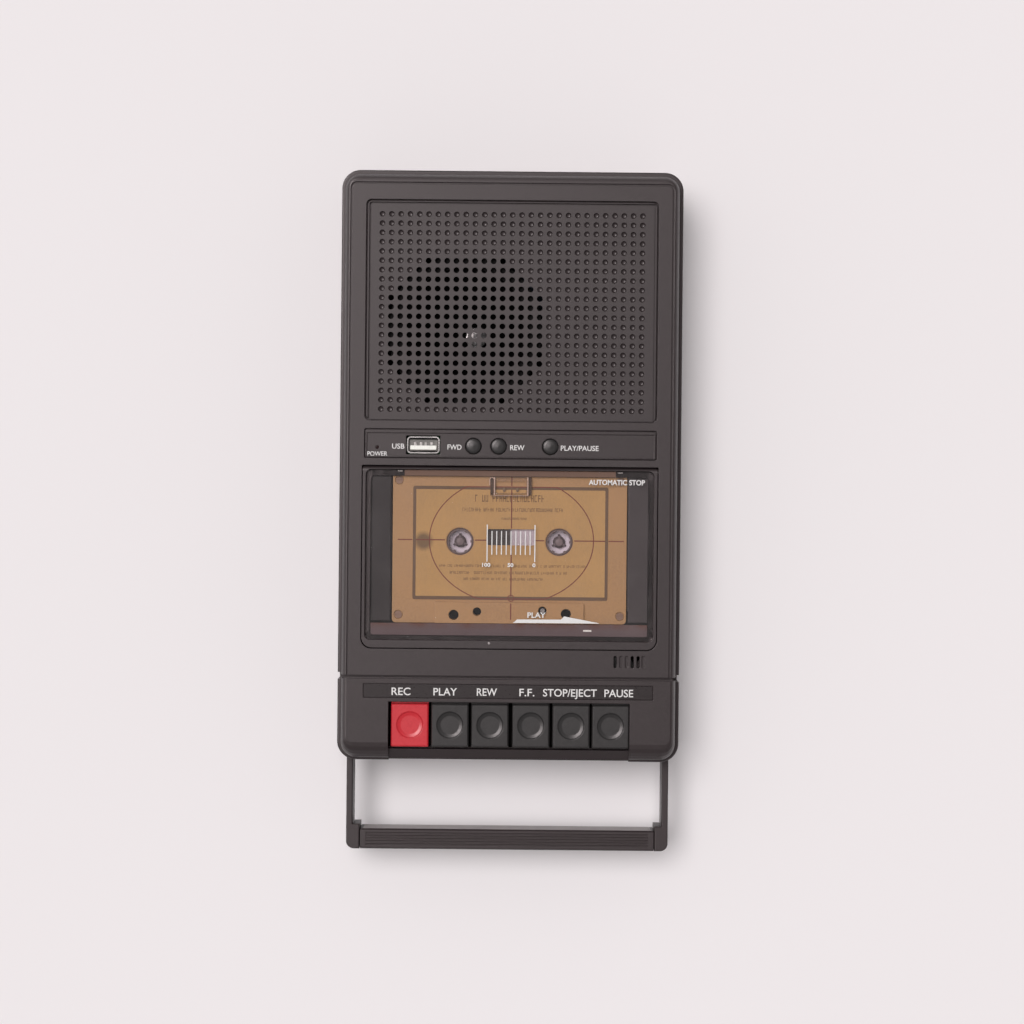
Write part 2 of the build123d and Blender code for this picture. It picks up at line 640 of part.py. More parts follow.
def key_return_spring():
    """Comb of leaf springs, one finger under each key."""
    comb = block((-52, 54), (-76.0, -72.6), (46.6, 47.2))
    under = [(-73, 46.6), (-82, 41.3), (-96, 42.5)]
    over = [(-96, 43.0), (-82, 41.8), (-73, 47.2)]
    finger = Plane.YZ * make_face(Polyline(under + over, close=True))
    for x in KEY_X.values():
        comb += Pos(x - 3, 0, 0) * extrude(finger, amount=6.0)
    return comb


def key_label_strip():
    """Inlay that carries the names of the keys."""
    return block((-61.8, 61.8), (-79.5, -73.7), (TOP - 0.6, TOP - 0.25), 0.3)


# Lid and cassette

def lid_frame():
    """Lid frame with its rounded hinge edge, moulded pins, side skirts and catch."""
    frame = block((-LID_X, LID_X), (LID_FRONT, HINGE_Y + 6), (54.2, TOP), 4.3)
    frame = frame & block((-90, 90), (-90, HINGE_Y), (40, 70))
    frame += rod((-LID_X, LID_X), HINGE_Y, HINGE_Z, HINGE_R)
    frame += both(block((61.0, 62.6), (-50.0, 10.0), (46.0, 54.3)))
    frame += block((24, 31), (-57.6, -55.6), (49.0, 54.3))
    frame -= block((-LENS_X, LENS_X), LENS_Y, (LENS_SEAT, TOP + 1), 2.5)
    frame -= block((-59.6, 59.6), (-52.9, 15.4), (50.0, TOP), 2.0)
    return frame + both(rod((LID_X - 0.5, 65.6), HINGE_Y, HINGE_Z, PIN_R))


def lid_window():
    """Clear lens of the lid."""
    x, (y0, y1) = LENS_X - 0.15, LENS_Y
    lens = block((-x, x), (y0 + 0.15, y1 - 0.15), (LENS_SEAT, 57.75), 2.4)
    return chamfer(lens.faces().sort_by(Axis.Z)[-1].edges(), 0.3)


def cassette_holder():
    """Rails under the lid that the cassette slides into."""
    rail = block((TAPE_X + 0.4, TAPE_X + 1.8), (-42, 17.4), (43.4, 54.1))
    lip = block((46, TAPE_X + 1.8), (-30, 17.4), (43.4, 44.9))
    tab = block((TAPE_X + 0.4, 60.9), (-20, 0), (52.8, 54.2))
    back = block((-TAPE_X - 1.8, TAPE_X + 1.8), (TAPE_Y[1] + GAP, 17.4), (43.4, 53.9))
    return both(rail + lip + tab) + back


def cassette_clip():
    """Clear moulded bracket under the lens that steadies the cassette."""
    clip = block((-8.5, 9.3), (6.6, 15.3), (54.5, LENS_SEAT), 1.2)
    return clip - block((-6.2, 7.0), (8.4, 13.5), (54.0, 57.0), 0.8)


def cassette_body():
    """Cassette outside with its thick tape edge, hub holes, window, head openings and locating holes."""
    body = block((-TAPE_X, TAPE_X), TAPE_Y, TAPE_Z, 1.6)
    body += block((-THICK_X, THICK_X), (TAPE_Y[0], THICK_Y), THICK_Z, 0.5)
    body -= block((-47.5, 47.5), (-35.5, 13.5), (46.6, 52.6), 2.0)
    body -= [post(x, HUB_Y, (40, 60), 5.8) for x in (-HUB_X, HUB_X)]
    body -= block(WINDOW_X, WINDOW_Y, (TAPE_MID, 60), 0.8)
    body -= [block(x, (-50, depth), (45.4, 53.8)) for x, depth in
             (((-7.8, 7.8), -41.5), ((-20.4, -10.8), -41.5), ((9.6, 19.2), -40.5))]
    body -= block((13.0, 15.6), (-50, -45.8), (40, 46))
    body -= [post(x, y, (40, 60), r) for x, y, r in
             ((-23.7, -44.0, 2.15), (-13.7, -42.5, 1.8), (24.4, -43.2, 2.15))]
    body -= post(CAPSTAN_X, CAPSTAN_Y, (40, 50), 2.6) + post(CAPSTAN_X, CAPSTAN_Y, (50, 60), 1.8)
    body -= [post(x, y, (53.2, 60), 1.9) for x, y in cassette_corners()]
    return body


def cassette_corners():
    """Places of the cassette's screws."""
    return [(-47.5, 13.6), (47.5, 13.6), (-47.5, -44.1), (47.5, -44.1)]


def cassette_half(upper):
    """Upper or lower half of the cassette."""
    z = (TAPE_MID + 0.02, 60) if upper else (40, TAPE_MID - 0.02)
    half = cassette_body() & block((-60, 60), (-60, 30), z)
    return half


def cassette_screws():
    """Small screws in the cassette's corners."""
    return [post(x, y, (53.2, 53.85), 1.6) - block((x - 1.2, x + 1.2), (y - 0.25, y + 0.25), (53.5, 54))
            for x, y in cassette_corners()]


def cassette_label():
    """Paper label with openings for the hubs and the window."""
    label = block(LABEL_X, LABEL_Y, (TAPE_Z[1], TAPE_Z[1] + 0.15), 1.0)
    label -= [post(x, HUB_Y, (50, 60), 6.2) for x in (-HUB_X, HUB_X)]
    return label - block(WINDOW_X, WINDOW_Y, (50, 60), 0.8)


def tape_hub(x):
    """Hub with six drive teeth."""
    hub = turned(x, HUB_Y, [(4.9, 45.7), (5.4, 45.7), (5.4, 46.9), (10.4, 46.9), (10.4, 52.3), (5.4, 52.3),
                            (5.4, 53.5), (4.9, 53.5)])
    for step in range(6):
        tooth = block((-5.1, -4.4), (-0.5, 0.5), (46.6, 52.6))
        hub += Pos(x, HUB_Y, 0) * Rot(0, 0, 60 * step) * tooth
    return hub


def tape_pack():
    """Wound tape on the left hub."""
    return turned(-HUB_X, HUB_Y, [(10.5, 47.7), (21.4, 47.7), (21.4, 51.5), (10.5, 51.5)])


# Handle

def handle_arm(side):
    """Flat arm with the corner block that holds one end of the grip."""
    arm = block(ARM_X, (GRIP_OUTER, ARM_REAR), ARM_Z)
    boss = block((64.3, ARM_X[1]), (GRIP_OUTER, GRIP_INNER + 2.0), ARM_Z)
    arm = arm + boss
    corner = arm.edges().filter_by(Axis.Z).sort_by(lambda edge: edge.center().Y - edge.center().X)[0]
    arm = fillet(corner, 3.3)
    arm += block((ARM_X[0] - 0.35, ARM_X[0] + 0.1), (ARM_REAR - 4, ARM_REAR), (22, 34))
    arm = chamfer(arm.faces().sort_by(Axis.Z)[-1].edges() + arm.faces().sort_by(Axis.Z)[0].edges(), 0.4)
    middle = (GRIP_OUTER + GRIP_INNER) / 2
    arm -= rod((60, 80), middle, 28.0, 1.4) + rod((ARM_X[1] - 1.4, 80), middle, 28.0, 2.7)
    return arm if side > 0 else mirror(arm, Plane.YZ)


def handle_grip():
    """Grip bar with fine flutes along its upper and lower faces."""
    grip = block((-64.0, 64.0), (GRIP_OUTER, GRIP_INNER), (ARM_Z[0] + 0.2, ARM_Z[1] - 0.2))
    grip = chamfer(grip.edges().filter_by(Axis.X), 0.7)
    flutes = []
    for step in range(5):
        y = GRIP_OUTER + 2.0 + 1.2 * step
        for z in (ARM_Z[0] + 0.2, ARM_Z[1] - 0.2):
            flutes.append(rod((-61.5, 61.5), y, z, 0.35))
    grip -= flutes
    middle = (GRIP_OUTER + GRIP_INNER) / 2
    return grip - both(rod((54, 66), middle, 28.0, 1.4))


def handle_screws():
    """Cross-head screws through the corner blocks into the grip."""
    middle = (GRIP_OUTER + GRIP_INNER) / 2
    screw = rod((55, 69.0), middle, 28.0, 1.4) + rod((ARM_X[1] - 1.4, ARM_X[1] - 0.2), middle, 28.0, 2.5)
    screw -= block((69.4, 71), (middle - 1.6, middle + 1.6), (27.7, 28.3))
    screw -= block((69.4, 71), (middle - 0.3, middle + 0.3), (26.4, 29.6))
    return [screw, mirror(screw, Plane.YZ)]


def nodes():
    """Every piece by name."""
    pieces = {
        "bottom_cover": bottom_cover(), "top_cover": top_cover(), "front_bezel": front_bezel(),
        "speaker_grille": speaker_grille(), "control_panel": control_panel(),
        "key_label_strip": key_label_strip(), "usb_shell": usb_shell(), "usb_tongue": usb_tongue(),
        "power_led": power_led(), "speaker_frame": speaker_frame(), "speaker_magnet": speaker_magnet(),
        "speaker_cone": speaker_cone(), "battery_cells": battery_cells(),
        "battery_contacts": battery_contacts(), "battery_door": battery_door(), "main_board": main_board(),
        "board_components": board_components(), "side_jacks": side_jacks(), "volume_wheel": volume_wheel(),
        "mic_capsule": mic_capsule(), "rubber_feet": rubber_feet(), "case_screws": case_screws(),
        "deck_plate": deck_plate(), "takeup_spindle": takeup_spindle(), "supply_spindle": supply_spindle(),
        "flywheel": flywheel(), "capstan_shaft": post(CAPSTAN_X, CAPSTAN_Y, (23.0, 52.4), CAPSTAN_R),
        "motor": motor(), "motor_pulley": motor_pulley(),
        "drive_belt": belt(CAPSTAN_X, CAPSTAN_Y, FLYWHEEL_R, MOTOR_X, MOTOR_Y, MOTOR_PULLEY_R, (35.0, 37.0)),
        "takeup_belt": belt(CAPSTAN_X, CAPSTAN_Y, HUB_PULLEY_R, HUB_X, HUB_Y, TAKEUP_PULLEY_R, (27.6, 29.4)),
        "head_plate": head_plate(), "tape_heads": tape_heads(), "pinch_roller": pinch_roller(),
        "key_shaft": key_shaft(), "key_return_spring": key_return_spring(),
        "lid_frame": lid_frame(), "lid_window": lid_window(), "cassette_holder": cassette_holder(),
        "cassette_clip": cassette_clip(), "cassette_shell_upper": cassette_half(True),
        "cassette_shell_lower": cassette_half(False), "cassette_label": cassette_label(),
        "cassette_screws": cassette_screws(), "hub_left": tape_hub(-HUB_X), "hub_right": tape_hub(HUB_X),
        "tape_pack": tape_pack(), "handle_grip": handle_grip(), "handle_arm_left": handle_arm(-1),
        "handle_arm_right": handle_arm(1), "handle_screws": handle_screws(),
    }
    pieces.update({name: key(x) for name, x in KEY_X.items()})
    pieces.update({name: push_button(x) for name, x in BUTTON_X.items()})
    return pieces


def main():
    os.makedirs("parts", exist_ok=True)
    for name, shape in nodes().items():
        solid = Compound(children=shape) if isinstance(shape, list) else shape
        export_step(solid, f"parts/{name}.step")


main()
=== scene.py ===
"""Looks of a flat portable cassette player, built round its CAD frame.

Everything is in metres, in the frame's axes: +X right, +Y from the handle to the speaker end, +Z up.
"""

import math
import random

import bmesh
import bpy
from mathutils import Matrix, Vector


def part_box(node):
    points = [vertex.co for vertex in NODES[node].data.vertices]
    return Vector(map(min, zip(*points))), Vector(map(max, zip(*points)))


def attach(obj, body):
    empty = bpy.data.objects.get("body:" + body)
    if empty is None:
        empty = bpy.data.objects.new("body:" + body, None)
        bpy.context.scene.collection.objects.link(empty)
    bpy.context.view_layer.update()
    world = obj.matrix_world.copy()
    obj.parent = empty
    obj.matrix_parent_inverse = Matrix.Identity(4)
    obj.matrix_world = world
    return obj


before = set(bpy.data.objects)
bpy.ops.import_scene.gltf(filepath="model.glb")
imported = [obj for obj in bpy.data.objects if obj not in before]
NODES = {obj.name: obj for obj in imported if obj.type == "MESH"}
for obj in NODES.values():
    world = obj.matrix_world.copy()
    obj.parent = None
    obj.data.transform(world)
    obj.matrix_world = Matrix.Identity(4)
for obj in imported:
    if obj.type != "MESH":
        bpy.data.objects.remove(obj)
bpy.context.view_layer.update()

MM = 0.001
INK = 0.03 * MM         # how far print stands off its surface
SUNK = 0.015 * MM       # how far it reaches into it


def mm(*values):
    """Millimetres as metres."""
    return tuple(value * MM for value in values)


def span(level, low, high):
    """The two places low and high millimetres from level."""
    return (level + low * MM, level + high * MM)


def middle(node):
    """Middle of a CAD node's box."""
    low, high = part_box(node)
    return (low + high) / 2


# Wiring of shader nodes

def srgb(red, green, blue):
    """Linear colour from 0-255 numbers as a paint program shows them."""
    def linear(value):
        value /= 255
        return value / 12.92 if value <= 0.04045 else ((value + 0.055) / 1.055) ** 2.4
    return (linear(red), linear(green), linear(blue), 1.0)


def shade(colour, factor):
    """A lighter or darker version of a colour."""
    return tuple(channel * factor for channel in colour[:3]) + (1.0,)


def wire(tree, kind, inputs=None, **settings):
    """Adds a shader node; each input is a value or another node's output."""
    node = tree.nodes.new("ShaderNode" + kind)
    for name, value in settings.items():
        setattr(node, name, value)
    for name, value in (inputs or {}).items():
        if isinstance(value, bpy.types.NodeSocket):
            tree.links.new(value, node.inputs[name])
        else:
            node.inputs[name].default_value = value
    return node


def new_material(name):
    """An empty material, its node tree, and the place on the piece."""
    material = bpy.data.materials.new(name)
    material.use_nodes = True
    tree = material.node_tree
    tree.nodes.clear()
    return material, tree, wire(tree, "TexCoord").outputs["Object"]


def surface(tree, shader):
    """Sends a shader to the material's surface."""
    wire(tree, "OutputMaterial", {"Surface": shader.outputs[0]})


def blend(tree, factor, first, second):
    """Colour between first and second."""
    return wire(tree, "Mix", {0: factor, 6: first, 7: second}, data_type="RGBA").outputs[2]


def layered(tree, factor, first, second):
    """Shader between first and second."""
    return wire(tree, "MixShader", {0: factor, 1: first.outputs[0], 2: second.outputs[0]})


def calc(tree, operation, first, second=0.0):
    """One step of arithmetic."""
    return wire(tree, "Math", {0: first, 1: second}, operation=operation).outputs[0]


def scaled(tree, value, low, high, to_low=0.0, to_high=1.0):
    """Maps value from low..high to to_low..to_high, held at the ends."""
    return wire(tree, "MapRange", {"Value": value, "From Min": low, "From Max": high,
                                   "To Min": to_low, "To Max": to_high}).outputs[0]


def noise(tree, place, size, detail=2.0, roughness=0.5):
    """Noise whose features are about size metres wide. Its values lie mostly between 0.3 and 0.7."""
    return wire(tree, "TexNoise", {"Vector": place, "Scale": 1.0 / size, "Detail": detail,
                                   "Roughness": roughness}).outputs["Fac"]


def stretched(tree, place, x, y, z):
    """Coordinates multiplied along each axis."""
    return wire(tree, "Mapping", {"Vector": place, "Scale": (x, y, z)}).outputs[0]


def parted(tree, vector):
    """The three parts of a vector."""
    return wire(tree, "SeparateXYZ", {"Vector": vector}).outputs


def distance_from(tree, place, x, y):
    """Distance from an upright axis."""
    parts = parted(tree, place)
    across = calc(tree, "POWER", calc(tree, "SUBTRACT", parts["X"], x), 2.0)
    along = calc(tree, "POWER", calc(tree, "SUBTRACT", parts["Y"], y), 2.0)
    return calc(tree, "SQRT", calc(tree, "ADD", across, along))


def bump(tree, height, strength, distance, **inputs):
    """Small relief in the shading."""
    return wire(tree, "Bump", {"Height": height, "Strength": strength, "Distance": distance,
                               **inputs}).outputs[0]


# Kinds of material

def moulded(name, colour, roughness=0.5, grain=0.12, specular=0.5, rubbed=1.35, edge_radius=0.4 * MM):
    """Moulded plastic: spark-eroded grain, faint flow marks, and edges rubbed lighter and smoother."""
    material, tree, place = new_material(name)
    cloud = noise(tree, place, 22 * MM, 3.0)
    speck = noise(tree, place, 0.9 * MM, 2.0, 0.7)
    pits = noise(tree, place, 0.35 * MM, 1.0)
    soft = wire(tree, "Bevel", {"Radius": edge_radius}, samples=4).outputs[0]
    facing = wire(tree, "NewGeometry").outputs["Normal"]
    bend = wire(tree, "VectorMath", {0: soft, 1: facing}, operation="DOT_PRODUCT").outputs["Value"]
    edge = scaled(tree, bend, 0.999, 0.86)
    wear = calc(tree, "MULTIPLY", edge, scaled(tree, cloud, 0.35, 0.65, 0.4, 1.0))
    tone = blend(tree, scaled(tree, cloud, 0.3, 0.7), shade(colour, 0.94), shade(colour, 1.06))
    tone = blend(tree, scaled(tree, speck, 0.35, 0.65), tone, shade(colour, 1.12))
    tone = blend(tree, wear, tone, shade(colour, rubbed))
    rough = calc(tree, "SUBTRACT", scaled(tree, speck, 0.3, 0.7, roughness - 0.05, roughness + 0.05),
                 calc(tree, "MULTIPLY", wear, 0.12))
    relief = bump(tree, calc(tree, "ADD", pits, speck), grain, 0.08 * MM, Normal=soft)
    surface(tree, wire(tree, "BsdfPrincipled", {
        "Base Color": tone, "Roughness": rough, "Normal": relief, "Specular IOR Level": specular}))
    return material


def metal(name, colour, roughness=0.3, along=(1, 1, 1), metallic=1.0):
    """Bright or blackened metal with drawn or turned marks along one axis."""
    material, tree, place = new_material(name)
    marks = noise(tree, stretched(tree, place, *along), 0.5 * MM, 3.0, 0.6)
    dull = noise(tree, place, 6 * MM, 3.0)
    tone = blend(tree, scaled(tree, dull, 0.35, 0.7), colour, shade(colour, 0.82))
    rough = calc(tree, "ADD", scaled(tree, marks, 0.3, 0.7, roughness - 0.06, roughness + 0.08),
                 scaled(tree, dull, 0.4, 0.7, 0.0, 0.06))
    surface(tree, wire(tree, "BsdfPrincipled", {
        "Base Color": tone, "Roughness": rough, "Normal": bump(tree, marks, 0.12, 0.03 * MM),
        "Metallic": metallic}))
    return material


def see_through(name, tint, roughness=0.04, dust=0.02, frost=0.0):
    """Clear moulding: a tint, a mirror-like skin, scuffs, a trace of dust, and frosted upright edges."""
    material, tree, place = new_material(name)
    scuff = noise(tree, stretched(tree, place, 1.0, 0.15, 1.0), 0.6 * MM, 4.0, 0.7)
    haze = noise(tree, place, 14 * MM, 3.0)
    skin = wire(tree, "BsdfPrincipled", {
        "Base Color": blend(tree, haze, srgb(246, 244, 244), srgb(255, 255, 255)), "Metallic": 1.0,
        "Roughness": scaled(tree, scuff, 0.35, 0.75, roughness, roughness + 0.10),
        "Normal": bump(tree, haze, 0.05, 0.05 * MM)})
    grains = wire(tree, "BsdfPrincipled", {
        "Base Color": blend(tree, scuff, srgb(150, 142, 142), srgb(190, 182, 180)),
        "Roughness": scaled(tree, scuff, 0.3, 0.7, 0.6, 0.8)})
    clear = wire(tree, "BsdfTransparent", {"Color": tint})
    slant = wire(tree, "LayerWeight", {"Blend": 0.5}).outputs["Facing"]
    mirror = calc(tree, "ADD", calc(tree, "MULTIPLY", calc(tree, "POWER", slant, 5.0), 0.9), 0.04)
    body = layered(tree, mirror, clear, skin)
    dusty = scaled(tree, calc(tree, "MULTIPLY", scuff, haze), 0.15, 0.5, 0.0, dust)
    body = layered(tree, dusty, body, grains)
    if frost:
        upright = parted(tree, wire(tree, "NewGeometry").outputs["True Normal"])["Z"]
        edge = scaled(tree, calc(tree, "ABSOLUTE", upright), 0.75, 0.35, 0.0, frost)
        matt = wire(tree, "BsdfPrincipled", {
            "Base Color": blend(tree, scuff, srgb(214, 206, 206), srgb(250, 248, 246)),
            "Roughness": scaled(tree, haze, 0.3, 0.7, 0.25, 0.45)})
        body = layered(tree, edge, body, matt)
    surface(tree, body)
    return material


def shade_sheet(name, rear, front, y, cover):
    """Sheet whose colour is painted shade and reflection: rear's colour at y[1] and front's at y[0],
    cloudy, and hiding most of what lies below.
    """
    material, tree, place = new_material(name)
    cloud = noise(tree, place, 7 * MM, 3.0)
    tone = blend(tree, scaled(tree, parted(tree, place)["Y"], y[1], y[0]), rear, front)
    tone = blend(tree, scaled(tree, cloud, 0.35, 0.7), tone, shade(front, 1.1))
    matt = wire(tree, "BsdfPrincipled", {
        "Base Color": tone, "Roughness": scaled(tree, cloud, 0.3, 0.7, 0.5, 0.65),
        "Specular IOR Level": 0.25})
    clear = wire(tree, "BsdfTransparent", {"Color": (0.96, 0.95, 0.95, 1.0)})
    surface(tree, layered(tree, cover, clear, matt))
    return material


def rubber(name, colour):
    """Matt rubber with a dusty bloom."""
    material, tree, place = new_material(name)
    bloom = noise(tree, place, 3 * MM, 4.0, 0.7)
    surface(tree, wire(tree, "BsdfPrincipled", {
        "Base Color": blend(tree, scaled(tree, bloom, 0.4, 0.75), colour, shade(colour, 1.8)),
        "Roughness": scaled(tree, bloom, 0.3, 0.7, 0.72, 0.9),
        "Normal": bump(tree, noise(tree, place, 0.3 * MM), 0.2, 0.05 * MM)}))
    return material


def card(name, colour, round_mark=None):
    """Uncoated paper: fibres, flecks, slow changes of tone, and a soft dark round mark (x, y, radius).
    """
    material, tree, place = new_material(name)
    fibres = noise(tree, stretched(tree, place, 1.0, 0.25, 1.0), 0.5 * MM, 5.0, 0.75)
    fleck = noise(tree, place, 0.8 * MM, 2.0, 0.8)
    cloud = noise(tree, place, 18 * MM, 2.0)
    tone = blend(tree, scaled(tree, cloud, 0.35, 0.65), shade(colour, 0.93), shade(colour, 1.05))
    tone = blend(tree, scaled(tree, fibres, 0.35, 0.7, 0.0, 0.8), tone, shade(colour, 1.18))
    tone = blend(tree, scaled(tree, fleck, 0.62, 0.75, 0.0, 0.35), tone, shade(colour, 0.6))
    if round_mark:
        x, y, radius = round_mark
        mark = scaled(tree, distance_from(tree, place, x, y), radius * 1.15, radius * 0.6, 0.0, 0.72)
        tone = blend(tree, mark, tone, srgb(74, 60, 52))
    surface(tree, wire(tree, "BsdfPrincipled", {
        "Base Color": tone, "Roughness": scaled(tree, fibres, 0.3, 0.7, 0.75, 0.9),
        "Normal": bump(tree, fibres, 0.3, 0.04 * MM)}))
    return material


def ink(name, colour, roughness=0.45):
    """Pad-printed ink: slightly uneven cover."""
    material, tree, place = new_material(name)
    cover = noise(tree, place, 0.4 * MM, 3.0, 0.7)
    surface(tree, wire(tree, "BsdfPrincipled", {
        "Base Color": blend(tree, scaled(tree, cover, 0.35, 0.75), colour, shade(colour, 0.86)),
        "Roughness": scaled(tree, cover, 0.3, 0.7, roughness, roughness + 0.15)}))
    return material


def ringed(name, colour, centre, pitch, roughness, specular=0.5):
    """Pressed or wound surface with fine rings about an upright axis at centre."""
    material, tree, place = new_material(name)
    radius = distance_from(tree, place, *centre)
    rings = calc(tree, "SINE", calc(tree, "MULTIPLY", radius, 2 * math.pi / pitch))
    fibres = noise(tree, place, 0.7 * MM, 4.0, 0.7)
    surface(tree, wire(tree, "BsdfPrincipled", {
        "Base Color": blend(tree, scaled(tree, fibres, 0.35, 0.7), colour, shade(colour, 1.5)),
        "Roughness": scaled(tree, fibres, 0.3, 0.7, roughness - 0.05, roughness + 0.1),
        "Normal": bump(tree, calc(tree, "ADD", rings, fibres), 0.12, 0.1 * MM),
        "Specular IOR Level": specular}))
    return material


# Finishes

CASE = srgb(45, 37, 38)
ROUND_MARK = mm(-36.9, -12.5, 4.1)       # side mark on the label: its place and radius
# The lip's colour runs from a painted shadow of the cassette at the rear to a painted reflection at the
# front.
FRONT_LIP_SHADE = mm(-50.4, -48.0)  # where the lip under the lens changes colour
# The tan strip is painted shade: the darker band along the lens's rounded rear edge.
REAR_STRIP_Y = mm(15.5, 17.95)      # reach of the tan strip at the rear of the lens

case_plastic = moulded("case_plastic", CASE, 0.42)
bezel_plastic = moulded("bezel_plastic", CASE, 0.39)
panel_plastic = moulded("panel_plastic", shade(CASE, 0.96), 0.40)
grille_plastic = moulded("grille_plastic", shade(CASE, 0.94), 0.45, rubbed=1.1, edge_radius=0.05 * MM)
strip_plastic = moulded("strip_plastic", shade(CASE, 0.7), 0.32, grain=0.06)
key_plastic = moulded("key_plastic", srgb(40, 38, 38), 0.39, grain=0.05)
record_plastic = moulded("record_plastic", srgb(188, 38, 48), 0.37, grain=0.05, rubbed=1.15)
grip_plastic = moulded("grip_plastic", shade(CASE, 1.1), 0.42, grain=0.05)
# Pale plastic that paints the light on the grip's inner face.
painted_light_plastic = moulded("painted_light_plastic", srgb(172, 163, 163), 0.45, grain=0.06, rubbed=1.1)
inner_plastic = moulded("inner_plastic", srgb(42, 34, 36), 0.5)
# Darker copy of the holder plastic: painted shade on the left flange.
painted_shade_plastic = moulded("painted_shade_plastic", srgb(24, 18, 20), 0.44, specular=0.35)
white_plastic = moulded("white_plastic", srgb(232, 230, 224), 0.3, grain=0.03, rubbed=1.02)
pip_plastic = moulded("pip_plastic", srgb(150, 142, 142), 0.4, grain=0.03)
socket_plastic = moulded("socket_plastic", srgb(104, 101, 98), 0.4, grain=0.04)
lamp_plastic = moulded("lamp", srgb(34, 12, 12), 0.15, grain=0.0)
board = moulded("board", srgb(42, 92, 54), 0.3, grain=0.1, rubbed=1.3)
component = moulded("component", srgb(36, 36, 40), 0.4)
# Near black, darker than bare paint: on the speaker frame this is painted shade under the grille.
near_black = moulded("near_black", srgb(9, 8, 8), 0.7, specular=0.1)

lens = see_through("lens", (0.97, 0.955, 0.955, 1.0), roughness=0.03, dust=0.03)
clear_plastic = see_through("clear_plastic", (0.96, 0.95, 0.95, 1.0), roughness=0.06, dust=0.10,
                            frost=0.7)
# Pale plastic that paints the highlights on the clear bracket's edges.
highlight_plastic = moulded("highlight_plastic", srgb(204, 176, 158), 0.35, grain=0.03, rubbed=1.1)
peg_plastic = moulded("peg_plastic", srgb(112, 88, 62), 0.5, grain=0.03)
# Painted shadow (brown, at the rear) and painted reflection (purple-grey, at the front) on the lip under
# the lens.
lip_shadow_and_reflection = shade_sheet("lip_shadow_and_reflection", srgb(104, 66, 54), srgb(101, 84, 86), FRONT_LIP_SHADE, 0.84)
# Painted shade: darker tan band along the rear edge of the lens.
rear_painted_shade = shade_sheet("rear_painted_shade", srgb(112, 86, 74), srgb(112, 86, 72), REAR_STRIP_Y, 0.9)

cassette_plastic = moulded("cassette_plastic", srgb(167, 128, 84), 0.42, grain=0.06, rubbed=1.12)
hub_plastic = moulded("hub_plastic", srgb(116, 100, 98), 0.5, grain=0.05, specular=0.2)
spindle_plastic = moulded("spindle_plastic", srgb(122, 108, 110), 0.5, grain=0.05, specular=0.2)
paper = card("label_paper", srgb(181, 143, 92), ROUND_MARK)
slip_sheet = card("slip_sheet", srgb(228, 216, 226))
tape_film = ringed("tape_film", srgb(46, 34, 30), middle("tape_pack")[:2], 0.5 * MM, 0.3)
# The cone's black, darkened further and with little gloss: painted shade under the grille.
cone_paper = ringed("cone_paper", srgb(7, 6, 6), middle("speaker_cone")[:2], 1.6 * MM, 0.85,
                    specular=0.06)

steel = metal("steel", srgb(200, 198, 196), 0.28, (1.0, 0.1, 1.0))
shell_steel = metal("shell_steel", srgb(214, 211, 210), 0.22, (0.1, 1.0, 1.0))
# Darker than bare steel: blackened on the deck plate, and painted shade on the head plate and tape
# heads.
dark_steel = metal("dark_steel", srgb(62, 60, 60), 0.42, (1.0, 0.15, 1.0), metallic=0.7)
screw_steel = metal("screw_steel", srgb(132, 108, 92), 0.5, metallic=0.6)
cap_metal = metal("cap_metal", srgb(200, 198, 198), 0.25)
brass = metal("brass", srgb(214, 178, 108), 0.26)
ferrite = metal("ferrite", srgb(70, 68, 70), 0.6, metallic=0.2)
cell_wrap = metal("cell_wrap", srgb(92, 104, 120), 0.34, (0.05, 1.0, 1.0), metallic=0.6)
foot_rubber = rubber("foot_rubber", srgb(34, 33, 33))
belt_rubber = rubber("belt_rubber", srgb(26, 25, 25))

white_ink = ink("white_ink", srgb(222, 219, 218))
brown_ink = ink("brown_ink", srgb(104, 78, 54), 0.6)
red_ink = ink("red_ink", srgb(118, 54, 38), 0.6)
faint_ink = ink("faint_ink", srgb(124, 94, 64), 0.7)


def finish_nodes(material, *names):
    """Gives CAD nodes a material."""
    for name in names:
        data = NODES[name].data
        data.materials.clear()
        data.materials.append(material)


finish_nodes(case_plastic, "bottom_cover", "top_cover", "battery_door", "lid_frame")
finish_nodes(bezel_plastic, "front_bezel")
finish_nodes(grip_plastic, "handle_arm_left", "handle_arm_right", "handle_grip")
finish_nodes(panel_plastic, "control_panel", "volume_wheel")
finish_nodes(grille_plastic, "speaker_grille")
finish_nodes(strip_plastic, "key_label_strip")
finish_nodes(key_plastic, "key_play", "key_rewind", "key_forward", "key_stop", "key_pause",
             "button_forward", "button_rewind", "button_play_pause")
finish_nodes(record_plastic, "key_record")
finish_nodes(inner_plastic, "cassette_holder", "side_jacks")
finish_nodes(white_plastic, "usb_tongue")
finish_nodes(lamp_plastic, "power_led")
finish_nodes(lens, "lid_window")
finish_nodes(clear_plastic, "cassette_clip")
finish_nodes(cassette_plastic, "cassette_shell_upper", "cassette_shell_lower")
finish_nodes(paper, "cassette_label")
finish_nodes(screw_steel, "cassette_screws")
finish_nodes(hub_plastic, "hub_left", "hub_right")
finish_nodes(tape_film, "tape_pack")
finish_nodes(spindle_plastic, "takeup_spindle", "supply_spindle")
finish_nodes(foot_rubber, "rubber_feet", "mic_capsule", "pinch_roller")
finish_nodes(belt_rubber, "drive_belt", "takeup_belt")
finish_nodes(steel, "case_screws", "handle_screws", "key_shaft", "capstan_shaft",
             "key_return_spring", "battery_contacts", "motor")
finish_nodes(shell_steel, "usb_shell")
# The head plate and tape heads take the dark steel as painted shade.
finish_nodes(dark_steel, "deck_plate", "head_plate", "tape_heads")
finish_nodes(brass, "flywheel", "motor_pulley")
finish_nodes(ferrite, "speaker_magnet")
finish_nodes(cone_paper, "speaker_cone")
